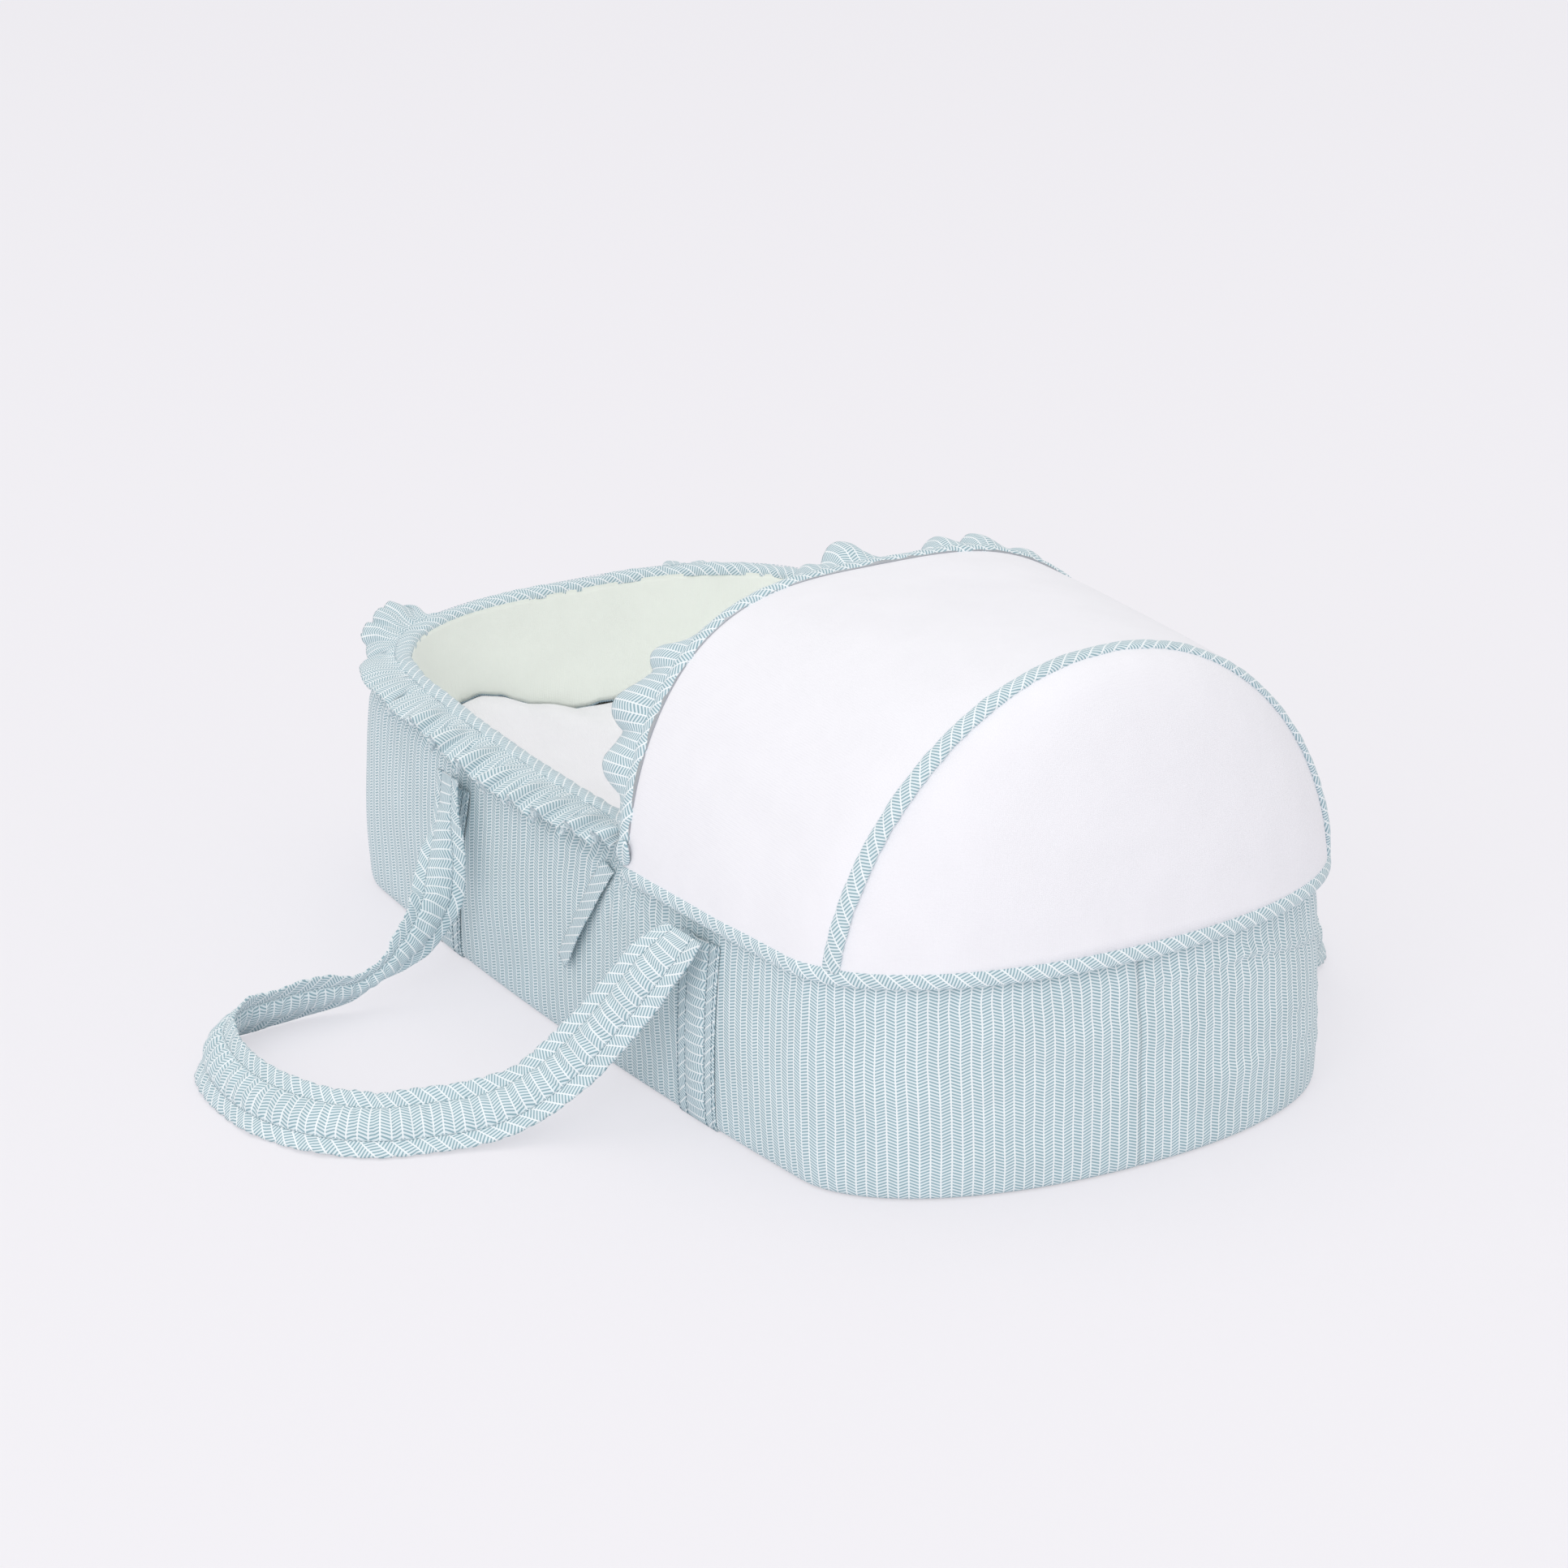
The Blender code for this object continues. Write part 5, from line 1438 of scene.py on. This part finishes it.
# Each place: shares of the span, of the reach and of the root's height, then the width's direction.
near_route = [
    (-0.93, 0.00, 1.04, -1.00, 0.00, 0.00),
    (-0.865, 0.04, 0.83, -1.00, -0.10, -0.05),
    (-0.79, 0.09, 0.60, -0.75, -0.65, 0.10),
    (-0.72, 0.15, 0.38, -0.10, -0.95, 0.30),
    (-0.70, 0.26, 0.15, 0.25, -0.85, 0.40),
    (-0.69, 0.43, 0.00, 0.50, -0.40, 0.75),
    (-0.69, 0.63, 0.00, 0.55, -0.15, 0.80),
    (-0.65, 0.81, 0.00, 0.60, 0.00, 0.80),
    (-0.49, 0.94, 0.00, 0.50, 0.35, 0.75),
    (-0.22, 1.00, 0.00, 0.10, 0.60, 0.75),
    (0.08, 1.00, 0.00, -0.20, 0.60, 0.75),
    (0.34, 0.93, 0.00, -0.50, 0.45, 0.70),
    (0.52, 0.80, 0.00, -0.68, 0.25, 0.68),
    (0.61, 0.62, 0.00, -0.70, 0.10, 0.70),
    (0.67, 0.47, 0.05, -0.75, 0.10, 0.62),
    (0.74, 0.31, 0.23, -0.85, -0.05, 0.53),
    (0.83, 0.17, 0.53, -0.87, -0.12, 0.48),
    (0.93, 0.07, 0.82, -0.93, -0.20, 0.30),
    (1.00, 0.00, 1.00, -1.00, 0.00, 0.00),
]
far_route = [
    (-0.95, 0.00, 1.00, -1.00, 0.00, 0.00),
    (-1.06, 0.09, 0.80, -1.00, 0.00, -0.30),
    (-1.20, 0.19, 0.50, -0.80, 0.00, -0.60),
    (-1.35, 0.30, 0.22, -0.60, 0.00, -0.80),
    (-1.52, 0.46, 0.00, -0.50, 0.00, -0.80),
    (-1.61, 0.67, 0.00, -0.50, -0.10, -0.80),
    (-1.52, 0.87, 0.00, -0.45, -0.30, -0.80),
    (-1.24, 0.97, 0.00, -0.20, -0.45, -0.80),
    (-0.82, 1.00, 0.00, 0.00, -0.50, -0.80),
    (-0.37, 0.99, 0.00, 0.00, -0.50, -0.80),
    (0.08, 0.96, 0.00, 0.10, -0.50, -0.80),
    (0.49, 0.86, 0.00, 0.25, -0.45, -0.80),
    (0.82, 0.68, 0.00, 0.40, -0.20, -0.80),
    (1.00, 0.46, 0.10, 0.10, -0.05, -0.85),
    (1.05, 0.26, 0.38, -0.50, 0.00, -0.75),
    (1.03, 0.11, 0.75, -0.85, 0.00, -0.40),
    (1.00, 0.00, 1.00, -1.00, 0.00, 0.00),
]


def through(rows, pieces):
    """A smooth curve through rows of values, by Catmull-Rom."""
    rows = np.array(rows)
    padded = np.concatenate([rows[:1], rows, rows[-1:]])
    a, b, c, d = padded[:-3, None], padded[1:-2, None], padded[2:-1, None], padded[3:, None]
    t = np.linspace(0, 1, pieces + 1)[:-1][None, :, None]
    curve = (2 * b + (c - a) * t + (2 * a - 5 * b + 4 * c - d) * t**2 + (3 * b - a - 3 * c + d) * t**3) / 2
    return np.concatenate([curve.reshape(-1, rows.shape[1]), rows[-1:]])


# %% Sweep a loop


def loop_frames(near, reach, route):
    """The loop's middle line with the way of its width and of its padded face."""
    rows = through(route, 20)
    centre, span = sum(loop_ends) / 2, (loop_ends[1] - loop_ends[0]) / 2
    height = np.clip(rows[:, 2], 0, None)
    flat_thickness, channel_thickness, air = 0.0016, 0.0085, 0.0006
    rest = half_strap
    width_way = rows[:, 3:] * (1, -near, 1)
    steps = np.arange(len(rows))
    rooted = smooth(np.minimum(steps, steps[::-1]) / 30)[:, None]
    # The height at which a lying loop rests depends on its tilt, so it is settled in a few rounds.
    for _ in range(3):
        middle = stacked(
            centre + rows[:, 0] * span,
            near * (axis_offset + rows[:, 1] * reach),
            rest + height * (axis_height - rest),
        )
        along = np.gradient(middle, axis=0)
        along[:, 0] *= rooted[:, 0]
        along = unit(along)
        across = unit(width_way - along * (width_way * along).sum(-1, keepdims=True))
        out = np.cross(along, across)
        on_edge, on_face = np.abs(across[:, 2]), np.abs(out[:, 2])
        flat_rest = (on_edge * strap_width + on_face * flat_thickness) / 2
        channel_rest = (on_edge * 2 * channel_half + on_face * channel_thickness) / 2
        rest = np.maximum(flat_rest, channel_rest) + air
    return middle, across, out, rooted[:, 0]


def loop_width(share, narrow):
    """How wide the loop is along its run, where the gathers draw it together at its foot side."""
    gathered = 0.45 * smooth(share / 0.08) * smooth((0.26 - share) / 0.08)
    root = 0.32 * smooth(1 - share / 0.09)
    return 1 - root - narrow * (gathered + bell((share - 0.215) / 0.04))


def carrying_loop(name, near, reach, route, node, body, seed, narrow):
    """A loop as a padded strap swept along its route."""
    middle, width_way, out, rooted = loop_frames(near, reach, route)
    run = arc_lengths(middle[None], 1)[0]
    even = np.linspace(0, run[-1], int(run[-1] / 0.0011))
    middle, width_way, out = [read_along(even, run, values) for values in (middle, width_way, out)]
    width_way, out = unit(width_way), unit(out)
    rooted = np.interp(even, run, rooted)[:, None]
    across = strap_section()[None, :]
    along_run = even[:, None]
    outer = np.clip((np.abs(across) - channel_half) / (half_strap - channel_half), 0, 1)
    spots = stacked(along_run, np.sign(across) * 0.3, 0.0)
    pinch = gather_arches(along_run, seed) - 0.5
    wide = loop_width(along_run / even[-1], narrow) * (1 + 0.06 * pinch * outer * rooted)
    sway = (0.0020 * noise_at(spots, 0.022, seed + 4) + 0.0007 * pinch) * outer * rooted
    width_way, out = width_way[:, None], out[:, None]
    flat = middle[:, None] + width_way * (across * wide)[..., None] + out * sway[..., None]
    puff = 0.0050 * rooted
    front = flat + out * strap_puff(along_run, across, puff, seed)[..., None]
    rear = flat - out * strap_puff(along_run, across, puff, seed + 9)[..., None]
    for face in (front, rear):
        face[..., 2] = np.maximum(face[..., 2], 0.0007)
    points = np.concatenate([front, rear[:, ::-1]], 1)
    uv_front = strap_uv(along_run, across)
    uv = closed_band(np.concatenate([uv_front, uv_front[:, ::-1]], 1))
    obj = close_up(cloth(name, points, uv, "out", closed=True))
    print(name, "runs", round(float(even[-1]), 3), "m")
    finish(obj, poplin, body, "printed_cotton", node)
    seams = [face[:, column] for face in (front, rear) for column in (6, 20)]
    sew(name + "_stitches", seams, body, pitch=strap_pitch, length=0.0022, thickness=strap_thread)


carrying_loop(
    "near_carrying_loop", -1, near_reach, near_route, "near_handle", "near_loop", seed=91, narrow=0.42)
carrying_loop(
    "far_carrying_loop", 1, far_reach, far_route, "far_handle", "far_loop", seed=92, narrow=0.25)

# %% [markdown]
# ## Tie ribbons
#
# At each foot of the hood a narrow ribbon hangs loose on the wall. It is a thin strip with one edge
# lifted a little, so that the edge catches the light.

# %% Ties
ribbon_width = 0.0157
ribbon_length = 0.100


def tie(name, near, node, seed):
    """A ribbon hanging from the hood's foot."""
    share = np.linspace(0, 1, 45)[:, None]
    across = np.linspace(-0.5, 0.5, 11)[None, :]
    top_x, top_z, hang_x, hang_z = 0.0785, 0.1385, 0.0565, 0.0820
    x = top_x - hang_x * share + across * 0.017
    z = top_z - hang_z * share - across * 0.003
    distance = distance_at(x, near)
    spots = stacked(share * 0.1, across * 0.01, 0.0)
    lifted_edge = 0.0036 * smooth(across + 0.5) * (0.35 + 0.65 * smooth(share * 2))
    curl = 0.0020 + lifted_edge + 0.0006 * noise_at(spots, 0.012, seed)
    points = place(distance, outer_inset(z, rim_at(distance)) - curl, z)
    obj = cloth(name, points, bias(share * ribbon_length, across * ribbon_width, 45.0), "out")
    thicken(obj, thin_cloth)
    finish(obj, poplin, "basket", "printed_cotton", node)


tie("near_ribbon", -1, "near_tie", 95)
tie("far_ribbon", 1, "far_tie", 96)

# %% [markdown]
# ## Seams on the rim and the lining
#
# Two rows of stitches hold the rim's binding, and an overlocked edge runs round the lining's hem.

# %% Rim and hem stitches
hem_line = skirt_points(skirt_rows)[0]
hem_line = hem_line - 0.0006 * unit(hem_line - (0, 0, 0.6)) * (1, 1, 0)
overlock = stitch_tree(overlock_thread)
hem_round = np.concatenate([hem_line, hem_line[:1]])
sew("hem_overlock", [hem_round], "basket", overlock, pitch=0.0021, length=0.0022, thickness=0.0015)
rim_run = np.linspace(0, total, 800)
rim_side = rim_inset + tuck(rim_run) - rim_width / 2
sew("rim_stitches", [
    place(rim_run, rim_side - 0.0002, rim_at(rim_run) - 0.0036),
    place(rim_run, rim_side + 0.0018, rim_at(rim_run) - 0.0012),
], "basket", stitch_tree(rim_thread))

# %% [markdown]
# ## Hinge pockets
#
# The front bow's wire ends in an eye on a plastic hinge at each side. A small round pocket of the
# printed cotton covers it, so that nothing hard is within a baby's reach. It is a shallow dome on the
# hinge's own axis.

# %% Hinge pockets
pocket_radius = 0.0078
pocket_bulge = 0.0030
pocket_gap = 0.0063


def hinge_pocket(name, near):
    """A domed round pocket over the hinge's head."""
    turn = np.linspace(0, 2 * math.pi, 33)[None, :-1]
    share = np.linspace(0, 1, 9)[:, None]
    radius = pocket_radius * np.sin(share * math.pi / 2) ** 0.8
    bulge = pocket_bulge * np.cos(share * math.pi / 2) ** 0.7
    side = abs(float(np.interp(hinge.x, near_side[:, 0], near_side[:, 1]))) + pocket_gap
    points = stacked(
        hinge.x - 0.001 + radius * np.cos(turn),
        near * (side + bulge),
        hinge.z - 0.001 + 1.1 * radius * np.sin(turn),
    )
    points += 0.0004 * noise_at(points, 0.005, 97)[..., None] * (0, near, 0)
    uv = closed_band(points)[..., [0, 2]].copy()
    obj = cloth(name, points, uv, (0, near, 0), closed=True)
    thicken(obj, thin_cloth)
    finish(obj, poplin, "hood_front", "printed_cotton")


hinge_pocket("near_hinge_pocket", -1)
hinge_pocket("far_hinge_pocket", 1)

# %% [markdown]
# ## Hard parts
#
# The bows are zinc-plated spring wire, the hinges moulded nylon, and the base board is hardboard.
# They are carried over from the working model and only need their finish.

# %% Finishes for the hard parts


def hard_finish(name, colour, roughness, metallic, grain, depth):
    """A plain hard surface with a fine grain in its bump and roughness."""
    material, tree, shader = start_material(name)
    spot = add_node(tree, "ShaderNodeTexCoord").outputs["Object"]
    speck = lumps_of(tree, spot, 1 / grain, 3.0)[0]
    shade = carry(tree, speck, 0.0, 1.0, 0.92, 1.05)
    fill(tree, shader, {
        "Base Color": mix(tree, 1.0, linear(colour), shade, "MULTIPLY"),
        "Roughness": carry(tree, speck, 0.0, 1.0, roughness * 0.85, roughness * 1.15),
        "Normal": bumped(tree, speck, 0.3, depth),
        "Metallic": metallic,
    })
    return material


# Zinc-plated wire is a bright grey metal with a drawn, half-dull surface.
spring_wire = hard_finish(
    "zinc_plated_wire", "#B9BDC2", roughness=0.35, metallic=1.0, grain=0.0008, depth=0.0001)
# Moulded nylon is an off-white plastic with a satin shine.
nylon = hard_finish(
    "moulded_nylon", "#E4E6E8", roughness=0.42, metallic=0.0, grain=0.0015, depth=0.0001)
# Pressed hardboard is brown, matt and slightly rough to the light.
hardboard = hard_finish(
    "pressed_hardboard", "#8A7A66", roughness=0.75, metallic=0.0, grain=0.003, depth=0.0003)
for node_name, finish_of in (
    ("front_bow", spring_wire), ("middle_bow", spring_wire), ("near_bow_hinge", nylon),
    ("far_bow_hinge", nylon), ("base_board", hardboard),
):
    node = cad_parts[node_name]
    node.data.materials.clear()
    node.data.materials.append(finish_of)
    print(node_name, "gets", finish_of.name)

# %% [markdown]
# ## Studio
#
# The photograph has a pale sweep and soft light from all round. A large overhead lamp gives the soft
# shadows, a second one near the camera lifts the side that it sees, and the world fills the rest.

# %% Floor and light
floor_drop = 0.0003
floor_glow = 0.6
world_strength = 0.745
bpy.ops.mesh.primitive_plane_add(size=60, location=(0, 0, -floor_drop))
floor = bpy.context.active_object
floor.name = "studio_floor"

# A matt paper sweep takes the basket's soft shadow. Where the camera sees it, directly or in a
# reflection, it also glows as a lit sweep does, but that glow lights nothing.
floor_material, floor_tree, floor_shader = start_material("matt_sweep")
fill(floor_tree, floor_shader, {
    "Base Color": linear("#F4F2F6"), "Roughness": 0.95, "Specular IOR Level": 0.1,
})
rays = add_node(floor_tree, "ShaderNodeLightPath").outputs
seen = rays["Is Camera Ray"]
for kind in ("Is Glossy Ray", "Is Transmission Ray"):
    seen = reckon(floor_tree, "MAXIMUM", seen, rays[kind])
half_seen = reckon(floor_tree, "MULTIPLY", seen, floor_glow)
glow = add_node(floor_tree, "ShaderNodeEmission", {"Color": linear("#F4F2F7"), "Strength": 1.0})
surfaces = [half_seen, floor_shader.outputs[0], glow.outputs[0]]
blend = add_node(floor_tree, "ShaderNodeMixShader", surfaces)
floor_tree.links.new(blend.outputs[0], floor_tree.nodes["Material Output"].inputs["Surface"])
floor.data.materials.append(floor_material)


def soft_lamp(name, place_at, aim, size, watts):
    """A square area lamp aimed at a point."""
    data = bpy.data.lights.new(name, "AREA")
    data.size = size
    data.energy = watts
    lamp = bpy.data.objects.new(name, data)
    lamp.location = place_at
    lamp.rotation_euler = (Vector(aim) - Vector(place_at)).to_track_quat("-Z", "Y").to_euler()
    bpy.context.scene.collection.objects.link(lamp)


soft_lamp("overhead", (-0.6, 0.2, 6.0), (-0.2, 0.1, 0.0), size=5.0, watts=52)
soft_lamp("camera_side", (3.5, -3.5, 3.1), (0.0, 0.0, 0.1), size=3.2, watts=71)
world = bpy.data.worlds.new("studio")
bpy.context.scene.world = world
world.use_nodes = True
fill(world.node_tree, world.node_tree.nodes["Background"], [linear("#FFFFFF"), world_strength])
bpy.context.scene.view_settings.view_transform = "Standard"
